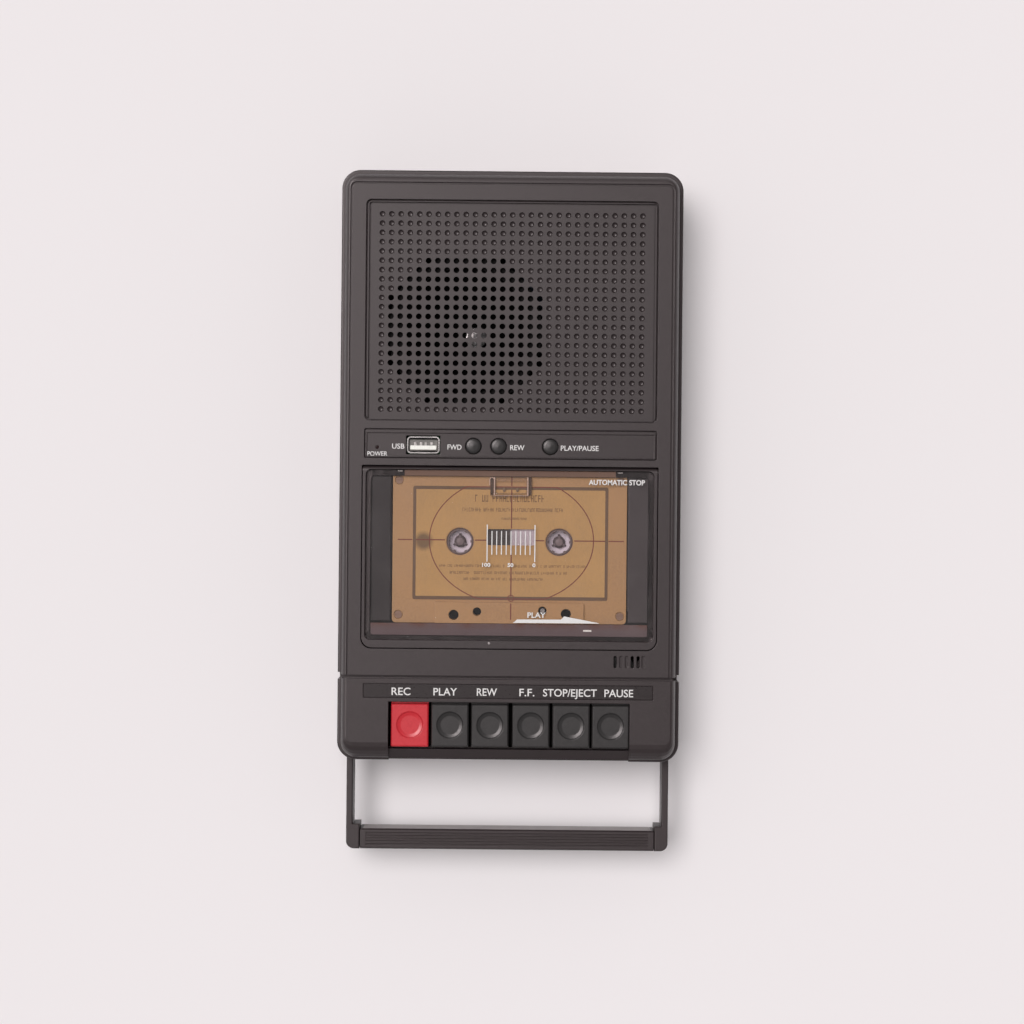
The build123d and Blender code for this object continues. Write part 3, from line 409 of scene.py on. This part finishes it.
# Painted shade: the frame is made near black so the grille's holes look dark.
finish_nodes(near_black, "speaker_frame")
finish_nodes(board, "main_board")
finish_nodes(component, "board_components")
finish_nodes(cell_wrap, "battery_cells")


# Meshes of added pieces

def add_piece(name, mesh, material, body, smooth=False):
    """Turns a bmesh into a closed piece that rides on a body."""
    bmesh.ops.remove_doubles(mesh, verts=mesh.verts, dist=1e-7)
    bmesh.ops.recalc_face_normals(mesh, faces=mesh.faces)
    for face in mesh.faces:
        face.smooth = smooth
    data = bpy.data.meshes.new(name)
    mesh.to_mesh(data)
    mesh.free()
    data.materials.append(material)
    piece = bpy.data.objects.new(name, data)
    bpy.context.scene.collection.objects.link(piece)
    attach(piece, body)


def band(mesh, first, second):
    """Joins two loops of vertices with a closed band of faces."""
    for index in range(len(first)):
        after = (index + 1) % len(first)
        mesh.faces.new((first[index], first[after], second[after], second[index]))


def stack(mesh, layers):
    """Adds a closed shape through layers, each one an outline of (x, y) points and its height."""
    loops = [[mesh.verts.new((x, y, z)) for x, y in outline] for outline, z in layers]
    mesh.faces.new(loops[0][::-1])
    mesh.faces.new(loops[-1])
    for lower, upper in zip(loops, loops[1:]):
        band(mesh, lower, upper)


def prism(mesh, outline, z):
    """Adds an upright prism over a closed outline of (x, y) points."""
    stack(mesh, [(outline, level) for level in z])


def corners(x, y):
    """Outline of a rectangle."""
    return [(x[0], y[0]), (x[1], y[0]), (x[1], y[1]), (x[0], y[1])]


def slab(mesh, x, y, z):
    """Adds a plain block between the pairs x, y and z."""
    prism(mesh, corners(x, y), z)


def bevelled(mesh, x, y, z, edge):
    """Adds a block whose top edges are bevelled."""
    top = corners((x[0] + edge, x[1] - edge), (y[0] + edge, y[1] - edge))
    stack(mesh, [(corners(x, y), z[0]), (corners(x, y), z[1] - edge), (top, z[1])])


def ring(mesh, outer, inner, z):
    """Adds a flat closed band between two outlines with the same number of points."""
    loops = [[mesh.verts.new((x, y, level)) for x, y in loop] for level in z for loop in (outer, inner)]
    for first, second in ((0, 2), (2, 3), (3, 1), (1, 0)):
        band(mesh, loops[first], loops[second])


def full_turn(steps):
    """Angles once round a circle."""
    return [math.tau * step / steps for step in range(steps)]


def oval(centre, radii, angles):
    """Points of an ellipse at some angles."""
    return [(centre[0] + radii[0] * math.cos(angle), centre[1] + radii[1] * math.sin(angle))
            for angle in angles]


def rounded(x, y, radius):
    """Outline of a rectangle with rounded corners."""
    steps = 6
    points = []
    ends = ((x[1], y[1]), (x[0], y[1]), (x[0], y[0]), (x[1], y[0]))
    for index, (corner_x, corner_y) in enumerate(ends):
        centre = (corner_x - math.copysign(radius, corner_x - (x[0] + x[1]) / 2),
                  corner_y - math.copysign(radius, corner_y - (y[0] + y[1]) / 2))
        angles = [math.radians(90 * index + 90 * step / steps) for step in range(steps + 1)]
        points += oval(centre, (radius, radius), angles)
    return points


# Print

FONT_CAP = 0.682        # height of a capital in the built-in font, for a text size of 1


def on_top(x, y, z):
    """Place of print that is read from above."""
    return Matrix.Translation((x, y, z))


def on_right(x, y, z):
    """Place of print on the right wall, read with the top of the player up."""
    return Matrix.Translation((x, y, z)) @ Matrix(
        ((0, 0, 1, 0), (1, 0, 0, 0), (0, 1, 0, 0), (0, 0, 0, 1)))


def on_left(x, y, z):
    """Place of print on the left wall, read with the top of the player up."""
    return Matrix.Translation((x, y, z)) @ Matrix(
        ((0, 0, -1, 0), (-1, 0, 0, 0), (0, 1, 0, 0), (0, 0, 0, 1)))


def lettering(name, words, width, cap, place, body, weight=0.02):
    """White words, width mm long with capitals cap mm high, with their middle at place."""
    width, cap = mm(width, cap)
    curve = bpy.data.curves.new(name, "FONT")
    curve.body = words
    curve.offset = weight
    curve.extrude = 0.5
    curve.resolution_u = 4
    text = bpy.data.objects.new(name, curve)
    bpy.context.scene.collection.objects.link(text)
    bpy.context.view_layer.update()
    data = bpy.data.meshes.new_from_object(text.evaluated_get(bpy.context.evaluated_depsgraph_get()))
    bpy.data.objects.remove(text)
    mesh = bmesh.new()
    mesh.from_mesh(data)
    bpy.data.meshes.remove(data)
    low = Vector(min(vert.co[axis] for vert in mesh.verts) for axis in range(3))
    high = Vector(max(vert.co[axis] for vert in mesh.verts) for axis in range(3))
    centre = (low + high) / 2
    size = high - low
    for vert in mesh.verts:
        flat = vert.co - centre
        rise = vert.co.y - FONT_CAP / 2
        depth = INK if flat.z > 0 else -SUNK
        vert.co = place @ Vector((flat.x * width / size.x, rise * cap / FONT_CAP, depth))
    add_piece(name, mesh, white_ink, body)


KEY_WORDS = {           # word, its shift from the key's middle and its length, in mm
    "key_record": ("REC", -3.85, 8.1),
    "key_play": ("PLAY", -2.1, 10.1),
    "key_rewind": ("REW", -1.4, 8.6),
    "key_forward": ("F.F.", -1.8, 6.4),
    "key_stop": ("STOP/EJECT", -0.6, 23.0),
    "key_pause": ("PAUSE", 3.4, 12.3),
}
KEY_CAP = 3.1           # height of a capital, in mm
PANEL_WORDS = {         # word, the node it names, its shift from that node, its length and height, in mm
    "power": ("POWER", "power_led", 0.1, 8.6, 1.9),
    "usb": ("USB", "usb_shell", -10.7, 5.3, 2.1),
    "forward": ("FWD", "button_forward", -8.1, 6.0, 2.1),
    "rewind": ("REW", "button_rewind", 8.0, 6.1, 2.1),
    "play_pause": ("PLAY/PAUSE", "button_play_pause", 12.6, 16.2, 2.1),
}
PANEL_RIM = 0.5 * MM    # how far the panel's rim stands over its printed face
THIN = 0.01             # weight of the print on the top face
SIDE_CAP = 2.0          # height of a capital on the side walls, in mm
JACK_Y = 4.5 * MM       # from the end of the pair of sockets to the middle of one
OVER_JACK = 1.5 * MM    # how far print stands over the sockets
OVER_WHEEL = 4.6 * MM   # and over the middle of the volume wheel


def key_names():
    """Names of the keys on the inlay above them."""
    low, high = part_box("key_label_strip")
    y = (low.y + high.y) / 2 - 0.2 * MM
    for node, (word, shift, width) in KEY_WORDS.items():
        place = on_top(middle(node).x + shift * MM, y, high.z)
        lettering("print_" + node, word, width, KEY_CAP, place, "case", THIN)


def panel_names():
    """Names beside the lamp, the socket and the three small buttons."""
    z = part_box("control_panel")[1].z - PANEL_RIM
    row = middle("button_forward").y - 0.5 * MM
    own_row = {"power": middle("power_led").y - 2.8 * MM, "usb": row + 0.2 * MM}
    for name, (word, node, shift, width, cap) in PANEL_WORDS.items():
        place = on_top(middle(node).x + shift * MM, own_row.get(name, row), z)
        lettering("print_" + name, word, width, cap, place, "case", THIN)


def side_names():
    """Names of the sockets on the left wall and of the volume wheel on the right wall."""
    low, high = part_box("top_cover")
    front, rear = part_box("side_jacks")
    for name, word, y in (("ear", "EAR", front.y + JACK_Y), ("mic", "MIC", rear.y - JACK_Y)):
        lettering("print_" + name, word, 5.4, SIDE_CAP, on_left(low.x, y, rear.z + OVER_JACK), "case")
    wheel = middle("volume_wheel")
    place = on_right(high.x, wheel.y, wheel.z + OVER_WHEEL)
    lettering("print_volume", "VOLUME", 11.0, SIDE_CAP, place, "case")


SCALE_X = mm(-9.6, 10.8)            # first and last tick of the tape scale
SCALE_STEPS = 10
TICK_Y = mm(-18.0, -7.9)
END_TICK_Y = mm(-21.0, -5.2)
TICK_HALF, END_TICK_HALF = 0.2, 0.22    # half their widths, in mm
SCALE_NUMBERS_Y = -22.4 * MM
STOP_WORDS = mm(45.6, 13.3)         # middles of the words on the lens
PLAY_WORD = mm(11.8, -43.7)
ARROW = [mm(*point) for point in ((1.7, -47.1), (38.4, -47.05), (38.3, -46.85), (23.6, -44.1),
                                  (22.3, -45.5), (3.6, -45.6))]


def tape_scale():
    """Ticks over the cassette window, the end ones longer, with 100, 50 and 0 below."""
    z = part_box("lid_window")[1].z
    first, last = SCALE_X
    mesh = bmesh.new()
    for step in range(SCALE_STEPS + 1):
        x = first + (last - first) * step / SCALE_STEPS
        y, half = (END_TICK_Y, END_TICK_HALF) if step in (0, SCALE_STEPS) else (TICK_Y, TICK_HALF)
        slab(mesh, span(x, -half, half), y, (z - SUNK, z + INK))
    add_piece("print_scale", mesh, white_ink, "lid")
    for word, x, width in (("100", first - 0.3 * MM, 3.5), ("50", 0.45 * MM, 2.5),
                           ("0", last - 0.3 * MM, 1.3)):
        lettering("print_scale_" + word, word, width, 1.5, on_top(x, SCALE_NUMBERS_Y, z), "lid", 0.03)


def lens_names():
    """Words on the lens and the half arrow that shows which way the tape runs."""
    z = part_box("lid_window")[1].z
    lettering("print_automatic_stop", "AUTOMATIC STOP", 24.0, 2.1, on_top(*STOP_WORDS, z), "lid", 0.025)
    lettering("print_play", "PLAY", 7.8, 2.2, on_top(*PLAY_WORD, z), "lid")
    mesh = bmesh.new()
    prism(mesh, ARROW, (z - SUNK, z + INK))
    add_piece("print_arrow", mesh, white_ink, "lid")


# Cassette

LABEL_CLEAR = 0.1 * MM              # gap between the label's edge and what is printed beside it
LABEL_THICK = 0.15 * MM
HEAD_RISE = 1.6 * MM                # how far the cassette's head end stands over its main face
# How far the frame line reaches in from the label's edges
FRAME_SIDE, FRAME_FRONT, FRAME_REAR = mm(1.4, 1.6, 1.5)
ELLIPSE_CENTRE = mm(0.8, -11.9)
ELLIPSE_RADII = mm(35.2, 27.4)
ELLIPSE_HALF = 0.22 * MM            # half the width of its stroke
CROSS_X = 0.73 * MM                 # place of the upright cross line
CROSS_HALF = 0.25                   # half the width of the cross lines, in mm
HUB_CLEAR = 6.4 * MM                # from a hub's middle to where a line stops
WINDOW_X = mm(-9.9, 11.1)           # where the cross lines stop at the cassette's window
WINDOW_Y = mm(-14.3, -6.8)
# How far they stop short of the shell's edges
SHELL_LEFT, SHELL_RIGHT, SHELL_FRONT, SHELL_REAR = mm(2.2, 1.2, 1.6, 0.8)
CIRCLE_RADII = mm(1.5, 1.1)
LABEL_ROWS = (          # reach across, middle, height and pitch of a row of small print, in mm
    ((-15.0, 13.8), 6.1, 3.0, 1.5),
    ((-20.3, 22.2), 1.2, 1.6, 0.9),
    ((-3.5, 7.0), -2.6, 1.0, 0.6),
    ((-30.0, 32.6), -22.9, 1.1, 0.7),
    ((-25.6, 24.6), -25.8, 1.2, 0.8),
    ((-19.6, 14.1), -28.5, 1.1, 0.7),
)


def label_frame():
    """Dark frame line just inside the label's edge."""
    low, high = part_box("cassette_label")
    outer = rounded((low.x + LABEL_CLEAR, high.x - LABEL_CLEAR),
                    (low.y + LABEL_CLEAR, high.y - LABEL_CLEAR), 0.9 * MM)
    inner = rounded((low.x + FRAME_SIDE, high.x - FRAME_SIDE),
                    (low.y + FRAME_FRONT, high.y - FRAME_REAR), 0.3 * MM)
    mesh = bmesh.new()
    ring(mesh, outer, inner, (high.z - SUNK, high.z + INK))
    add_piece("print_label_frame", mesh, brown_ink, "lid")


def label_ellipse():
    """Thin red ellipse about the middle of the label, flattened at its front and rear edges."""
    low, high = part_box("cassette_label")
    front, rear = low.y + 0.6 * MM, high.y - 0.3 * MM
    loops = []
    for grow in (ELLIPSE_HALF, -ELLIPSE_HALF):
        radii = [radius + grow for radius in ELLIPSE_RADII]
        loops.append([(x, min(max(y, front - grow), rear + grow))
                      for x, y in oval(ELLIPSE_CENTRE, radii, full_turn(120))])
    mesh = bmesh.new()
    ring(mesh, *loops, (high.z - SUNK, high.z + 1.4 * INK))
    add_piece("print_label_ellipse", mesh, red_ink, "lid")


def label_lines():
    """Cross lines through the hubs and the middle, over label and shell, and a small circle."""
    low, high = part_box("cassette_label")
    shell_low, shell_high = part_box("cassette_shell_upper")
    hub = middle("hub_left")
    right = middle("hub_right").x
    across = span(hub.y + 0.6 * MM, -CROSS_HALF, CROSS_HALF)
    upright = span(CROSS_X, -CROSS_HALF, CROSS_HALF)
    on_label = (high.z - SUNK, high.z + 1.2 * INK)
    shell_face = high.z - LABEL_THICK
    on_shell = (shell_face - SUNK, shell_face + INK)
    mesh = bmesh.new()
    for x in ((low.x + FRAME_SIDE, hub.x - HUB_CLEAR), (hub.x + HUB_CLEAR, WINDOW_X[0]),
              (WINDOW_X[1], right - HUB_CLEAR), (right + HUB_CLEAR, high.x - FRAME_SIDE)):
        slab(mesh, x, across, on_label)
    for y in ((low.y + FRAME_FRONT, WINDOW_Y[0]), (WINDOW_Y[1], high.y - FRAME_REAR)):
        slab(mesh, upright, y, on_label)
    for x in ((shell_low.x + SHELL_LEFT, low.x - LABEL_CLEAR),
              (high.x + LABEL_CLEAR, shell_high.x - SHELL_RIGHT)):
        slab(mesh, x, across, on_shell)
    slab(mesh, upright, (high.y + LABEL_CLEAR, shell_high.y - SHELL_REAR), on_shell)
    on_head = (shell_high.z - SUNK, shell_high.z + INK)
    slab(mesh, upright, (shell_low.y + SHELL_FRONT, low.y - 1.3 * MM), on_head)
    add_piece("print_label_lines", mesh, red_ink, "lid")
    centre = (CROSS_X, low.y + 0.9 * MM)
    outer, inner = [oval(centre, (radius, radius), full_turn(32)) for radius in CIRCLE_RADII]
    mesh = bmesh.new()
    ring(mesh, outer, inner, (high.z - SUNK, high.z + 1.8 * INK))
    add_piece("print_label_circle", mesh, red_ink, "lid")


def label_words():
    """Rows of small print, too fine to read: broken strokes the size of letters."""
    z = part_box("cassette_label")[1].z
    draw = random.Random(4)
    mesh = bmesh.new()
    for (start, end), y, cap, letter in LABEL_ROWS:
        x = start
        stem = 0.22 * letter
        low, high = y - cap / 2, y + cap / 2
        while x < end:
            if draw.random() > 0.13:
                slab(mesh, mm(x, x + stem), mm(low, high), (z - SUNK, z + INK))
                for _ in range(draw.choice((1, 1, 2))):
                    bar = low + cap * draw.choice((0.0, 0.42, 0.84))
                    slab(mesh, mm(x + 0.9 * stem, x + letter * draw.uniform(0.6, 0.75)),
                         mm(bar, bar + 0.16 * cap), (z - SUNK, z + 0.9 * INK))
                if draw.random() > 0.5:
                    late = x + 0.55 * letter
                    slab(mesh, mm(late, late + stem), mm(low, low + cap * 0.95),
                         (z - SUNK, z + 0.8 * INK))
            x += letter
    add_piece("print_label_words", mesh, faint_ink, "lid")


PANE = (mm(-9.5, 10.7), mm(-13.9, -7.2))            # reach along X and along Y
LINER = (mm(0.9, 12.5), mm(-15.5, -5.5))
SLIP_SHEET = (mm(-46.5, 46.5), mm(-34.5, 12.5))


def cassette_inside():
    """Clear window pane, the liner that shows in its right half, and the slip sheet under the reels."""
    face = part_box("cassette_shell_upper")[1].z - HEAD_RISE
    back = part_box("cassette_shell_lower")[0].z
    mesh = bmesh.new()
    slab(mesh, *PANE, span(face, -0.75, -0.15))
    add_piece("cassette_window_pane", mesh, clear_plastic, "lid")
    mesh = bmesh.new()
    slab(mesh, *LINER, span(face, -2.2, -2.0))
    add_piece("cassette_liner", mesh, slip_sheet, "lid")
    mesh = bmesh.new()
    prism(mesh, rounded(*SLIP_SHEET, 2 * MM), span(back, 3.15, 3.25))
    add_piece("cassette_slip_sheet", mesh, slip_sheet, "lid")


# Lid

FLANGE_X, FLANGE_Y = (50.9, 59.4), mm(-46.8, 15.2)  # reach outwards from the middle, in mm, and along Y
SPRING_X, SPRING_Y = (46.0, 48.2), mm(17.1, 17.8)
PIP_RADIUS = 0.55 * MM
PIP_X, PIP_Y = mm(-8.4, 2.3)                        # its place, with y from the lid's front edge
FRONT_LIP = (mm(-59.3, 59.3), mm(-52.8, -47.6))     # reach along X and along Y
# Reach of a small white piece that is a painted glint.
FRONT_GLINT = (mm(31.8, 35.4), mm(-50.7, -49.9))
REAR_STRIP = (mm(-45.2, 45.2), REAR_STRIP_Y)


def lid_details():
    """Flanges of the cassette holder, the left one in a darker copy of the plastic as painted shade, two
    leaf springs at the hinge and a moulded pip on the lid.
    """
    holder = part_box("cassette_holder")[1].z
    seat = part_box("lid_window")[0].z
    # The left flange is coloured as painted shade; the right one has the holder's own plastic.
    for side, name, material in ((-1, "left", painted_shade_plastic), (1, "right", inner_plastic)):
        x = sorted(mm(*(side * edge for edge in FLANGE_X)))
        mesh = bmesh.new()
        bevelled(mesh, x, FLANGE_Y, span(holder, 0.02, 0.5), 0.15 * MM)
        add_piece("holder_flange_" + name, mesh, material, "lid")
        x = sorted(mm(*(side * edge for edge in SPRING_X)))
        mesh = bmesh.new()
        bevelled(mesh, x, SPRING_Y, span(seat, 0.02, 0.5), 0.2 * MM)
        add_piece("holder_spring_" + name, mesh, steel, "lid")
    low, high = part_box("lid_frame")
    mesh = bmesh.new()
    bmesh.ops.create_uvsphere(mesh, u_segments=16, v_segments=10, radius=PIP_RADIUS)
    for vert in mesh.verts:
        vert.co = Vector((vert.co.x + PIP_X, vert.co.y + low.y + PIP_Y, high.z + vert.co.z * 0.5))
    add_piece("lid_pip", mesh, pip_plastic, "lid", smooth=True)


def lens_lips():
    """Lip under the front of the lens coloured with a painted shadow and a painted reflection, a small
    white piece on it as a painted glint, and a tan strip at the rear as painted shade.
    """
    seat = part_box("lid_window")[0].z
    mesh = bmesh.new()
    bevelled(mesh, *FRONT_LIP, span(seat, -0.7, -0.35), 0.15 * MM)
    add_piece("lens_front_lip", mesh, lip_shadow_and_reflection, "lid")
    mesh = bmesh.new()
    # Painted glint: a small piece in white plastic.
    bevelled(mesh, *FRONT_GLINT, span(seat, -0.34, -0.06), 0.1 * MM)
    add_piece("lens_front_glint", mesh, white_plastic, "lid")
    mesh = bmesh.new()
    bevelled(mesh, *REAR_STRIP, span(seat, -0.02, 0.1), 0.05 * MM)
    add_piece("lens_rear_strip", mesh, rear_painted_shade, "lid")


RIBS_X = mm(-6.7, 7.6)
RIB_HALF = 0.28             # half the width of a rib, in mm
CROSS_RIB_X = mm(-6.4, 7.3)
HOOK_X = mm(-8.9, -8.55)    # straight leg of the hook
HOOK_RADII = mm(1.1, 0.75)
HOOK_LEG = 3.6 * MM         # from the bracket's rear edge to the end of the leg
WALLS_X = (mm(-8.4, -7.1), mm(7.95, 9.2))
PEGS_X = mm(-2.5, 3.2)


def clip_details():
    """Ribs and a hook in a pale colour that paints the highlights on the clear bracket's edges, darker
    side walls that paint its shade, and two pegs of the bracket under the lens.
    """
    low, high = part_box("cassette_clip")
    front, rear = low.y + 0.6 * MM, high.y - 0.1 * MM
    rib_low = low.z + 0.5 * MM
    mesh = bmesh.new()
    # Ribs in the pale colour: painted highlights along the bracket's upright edges.
    for x in RIBS_X:
        across = span(x, -RIB_HALF, RIB_HALF)
        bevelled(mesh, across, (front, rear), (rib_low, high.z - 0.05 * MM), 0.1 * MM)
    bevelled(mesh, CROSS_RIB_X, (front, front + 0.25 * MM), (rib_low, high.z - 0.1 * MM), 0.08 * MM)
    add_piece("clip_ribs", mesh, highlight_plastic, "lid")

    centre = (-7.8 * MM, high.y - 1.2 * MM)
    half_turn = [math.pi * step / 12 for step in range(13)]
    outer = oval(centre, (HOOK_RADII[0], HOOK_RADII[0]), half_turn)
    inner = oval(centre, (HOOK_RADII[1], HOOK_RADII[1]), half_turn[::-1])
    leg = [(x, high.y - HOOK_LEG) for x in HOOK_X]
    mesh = bmesh.new()
    prism(mesh, outer + leg + inner, (low.z + 0.6 * MM, high.z - 0.1 * MM))
    add_piece("clip_hook", mesh, highlight_plastic, "lid")

    # Painted shade: dark brown strips for the bracket's side walls, which look dark through the lens.
    walls = shade_sheet("clip_wall_shade", srgb(92, 66, 50), srgb(98, 74, 54), (front, rear), 0.7)
    mesh = bmesh.new()
    for x in WALLS_X:
        bevelled(mesh, x, (front + 0.4 * MM, rear), span(low.z, 0.1, 0.4), 0.1 * MM)
    add_piece("clip_wall_shade", mesh, walls, "lid")

    mesh = bmesh.new()
    for x in PEGS_X:
        prism(mesh, oval((x, low.y + 3.2 * MM), mm(0.65, 1.0), full_turn(20)), span(low.z, 0.1, 0.45))
    add_piece("clip_pegs", mesh, peg_plastic, "lid")


# Handle, speaker and socket

CAP_SHIFT = mm(4.6, -2.6)   # from the middle of the cone
CAP_DEPTH = 4.4 * MM        # from the cone's front edge down to the foot of the dome
CAP_RADIUS = 4.6 * MM
CAP_CURVE = 13.0 * MM       # radius of the dome
CAP_RINGS, CAP_SIDES = 10, 40
CONTACTS_X = mm(-3.5, -1.0, 1.0, 3.5)   # from the middle of the socket
CONTACT_HALF = 0.6          # half the width of a contact, in mm
RIM_OUTER = mm(6.4, 3.05)   # half size of the ledge in the socket's rim
RIM_INNER = mm(6.15, 2.5)   # half size of the opening inside it


def grip_painted_light():
    """Pale strip along the inner face of the grip: painted light on that face."""
    low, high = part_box("handle_grip")
    mesh = bmesh.new()
    slab(mesh, (low.x + 1.2 * MM, high.x - 1.2 * MM), span(high.y, -0.1, 0.1),
         (low.z + 1.2 * MM, high.z - 0.9 * MM))
    bmesh.ops.bevel(mesh, geom=mesh.edges[:], offset=0.06 * MM, segments=2, affect="EDGES")
    add_piece("grip_painted_light", mesh, painted_light_plastic, "handle")


def speaker_cap():
    """Bright domed dust cap on the speaker cone."""
    low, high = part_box("speaker_cone")
    x, y = (low.x + high.x) / 2 + CAP_SHIFT[0], (low.y + high.y) / 2 + CAP_SHIFT[1]
    base = high.z - CAP_DEPTH
    dome = CAP_CURVE - math.sqrt(CAP_CURVE ** 2 - CAP_RADIUS ** 2)
    mesh = bmesh.new()
    loops = []
    for step in range(1, CAP_RINGS + 1):
        radius = CAP_RADIUS * step / CAP_RINGS
        rise = math.sqrt(CAP_CURVE ** 2 - radius ** 2) - CAP_CURVE + dome
        loops.append([mesh.verts.new((*point, base + rise))
                      for point in oval((x, y), (radius, radius), full_turn(CAP_SIDES))])
    loops.append([mesh.verts.new((vert.co.x, vert.co.y, base - 0.3 * MM)) for vert in loops[-1]])
    apex = mesh.verts.new((x, y, base + dome))
    for index in range(CAP_SIDES):
        after = (index + 1) % CAP_SIDES
        mesh.faces.new((apex, loops[0][index], loops[0][after]))
        for first, second in zip(loops, loops[1:]):
            mesh.faces.new((first[index], second[index], second[after], first[after]))
    mesh.faces.new(loops[-1][::-1])
    add_piece("speaker_dust_cap", mesh, cap_metal, "case", smooth=True)


def socket_contacts():
    """Contacts on the socket's tongue, the insert they stand on and the dark joint inside the rim."""
    low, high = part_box("usb_tongue")
    shell_low, shell_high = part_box("usb_shell")
    x, y = (low.x + high.x) / 2, (shell_low.y + shell_high.y) / 2
    opening = [(centre - half, centre + half) for centre, half in zip((x, y), RIM_INNER)]
    ledge = [(centre - half, centre + half) for centre, half in zip((x, y), RIM_OUTER)]
    mesh = bmesh.new()
    for shift in CONTACTS_X:
        bevelled(mesh, span(x + shift, -CONTACT_HALF, CONTACT_HALF), span(high.y, -0.1, 1.6),
                 (low.z + 1 * MM, high.z - 0.6 * MM), 0.2 * MM)
    add_piece("usb_contacts", mesh, steel, "case")
    mesh = bmesh.new()
    bevelled(mesh, *opening, span(high.z, -1.6, -1.2), 0.1 * MM)
    add_piece("usb_insert", mesh, socket_plastic, "case")
    mesh = bmesh.new()
    ring(mesh, rounded(*ledge, 1.1 * MM), rounded(*opening, 0.3 * MM),
         span(shell_high.z - 0.3 * MM, -0.02, 0.03))
    add_piece("usb_joint", mesh, near_black, "case")


key_names()
panel_names()
side_names()
tape_scale()
lens_names()
label_frame()
label_ellipse()
label_lines()
label_words()
cassette_inside()
lid_details()
lens_lips()
clip_details()
grip_painted_light()
speaker_cap()
socket_contacts()


# Floor, light and camera

FLOOR_HALF = 4.0
AMBIENT = 0.30          # brightness of the room
BACKDROP = 0.84         # brightness of the background where the floor ends
EYE_HEIGHT = 1.1        # height of the camera over the top face
EYE_TURN = 0.55         # degrees


def floor():
    """Pale matt surface under the player."""
    material, tree, place = new_material("floor")
    cloud = noise(tree, place, 0.5, 2.0)
    tone = blend(tree, cloud, (0.815, 0.775, 0.785, 1.0), (0.835, 0.795, 0.81, 1.0))
    surface(tree, wire(tree, "BsdfPrincipled", {
        "Base Color": tone, "Roughness": 0.8, "Specular IOR Level": 0.1}))
    reach = (-FLOOR_HALF, FLOOR_HALF)
    mesh = bmesh.new()
    mesh.faces.new([mesh.verts.new((x, y, 0)) for x, y in corners(reach, reach)])
    data = bpy.data.meshes.new("floor")
    mesh.to_mesh(data)
    mesh.free()
    data.materials.append(material)
    plane = bpy.data.objects.new("floor", data)
    bpy.context.scene.collection.objects.link(plane)


def sky():
    """Even room light, with a pale background."""
    world = bpy.data.worlds.new("room")
    world.use_nodes = True
    tree = world.node_tree
    tree.nodes.clear()
    seen = wire(tree, "LightPath").outputs["Is Camera Ray"]
    strength = wire(tree, "Mix", {0: seen, 2: AMBIENT, 3: BACKDROP}).outputs[0]
    light = wire(tree, "Background", {"Color": (1.0, 0.985, 0.985, 1.0), "Strength": strength})
    wire(tree, "OutputWorld", {"Surface": light.outputs[0]})
    bpy.context.scene.world = world


def soft_lamp(name, towards, power, spread, colour):
    """Distant round lamp in a direction: watts a square metre, and its width in degrees."""
    data = bpy.data.lights.new(name, "SUN")
    data.energy = power
    data.angle = math.radians(spread)
    data.color = colour
    light = bpy.data.objects.new(name, data)
    light.rotation_mode = "QUATERNION"
    light.rotation_quaternion = Vector(towards).to_track_quat("Z", "Y")
    bpy.context.scene.collection.objects.link(light)
    return light


def lamps():
    """An overhead lamp for matt surfaces and the shadow, and a lower one for the gloss."""
    overhead = soft_lamp("overhead", towards=(-0.17, 0.17, 1.0), power=2.39, spread=31,
                         colour=(1.0, 0.985, 0.98))
    overhead.visible_glossy = False
    gloss = soft_lamp("gloss", towards=(-0.58, 0.40, 1.0), power=4.4, spread=40,
                      colour=(1.0, 0.905, 0.905))
    gloss.visible_diffuse = False


def camera():
    """Looks straight down on the top face, slightly turned."""
    data = bpy.data.cameras.new("camera")
    data.sensor_width = 36.0
    data.lens = 90.5
    data.clip_start = 0.01
    eye = bpy.data.objects.new("camera", data)
    eye.location = (*mm(0.9, 0.3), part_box("top_cover")[1].z + EYE_HEIGHT)
    eye.rotation_euler = (0, 0, math.radians(EYE_TURN))
    bpy.context.scene.collection.objects.link(eye)
    bpy.context.scene.camera = eye


floor()
sky()
lamps()
camera()
bpy.context.scene.view_settings.view_transform = "Standard"
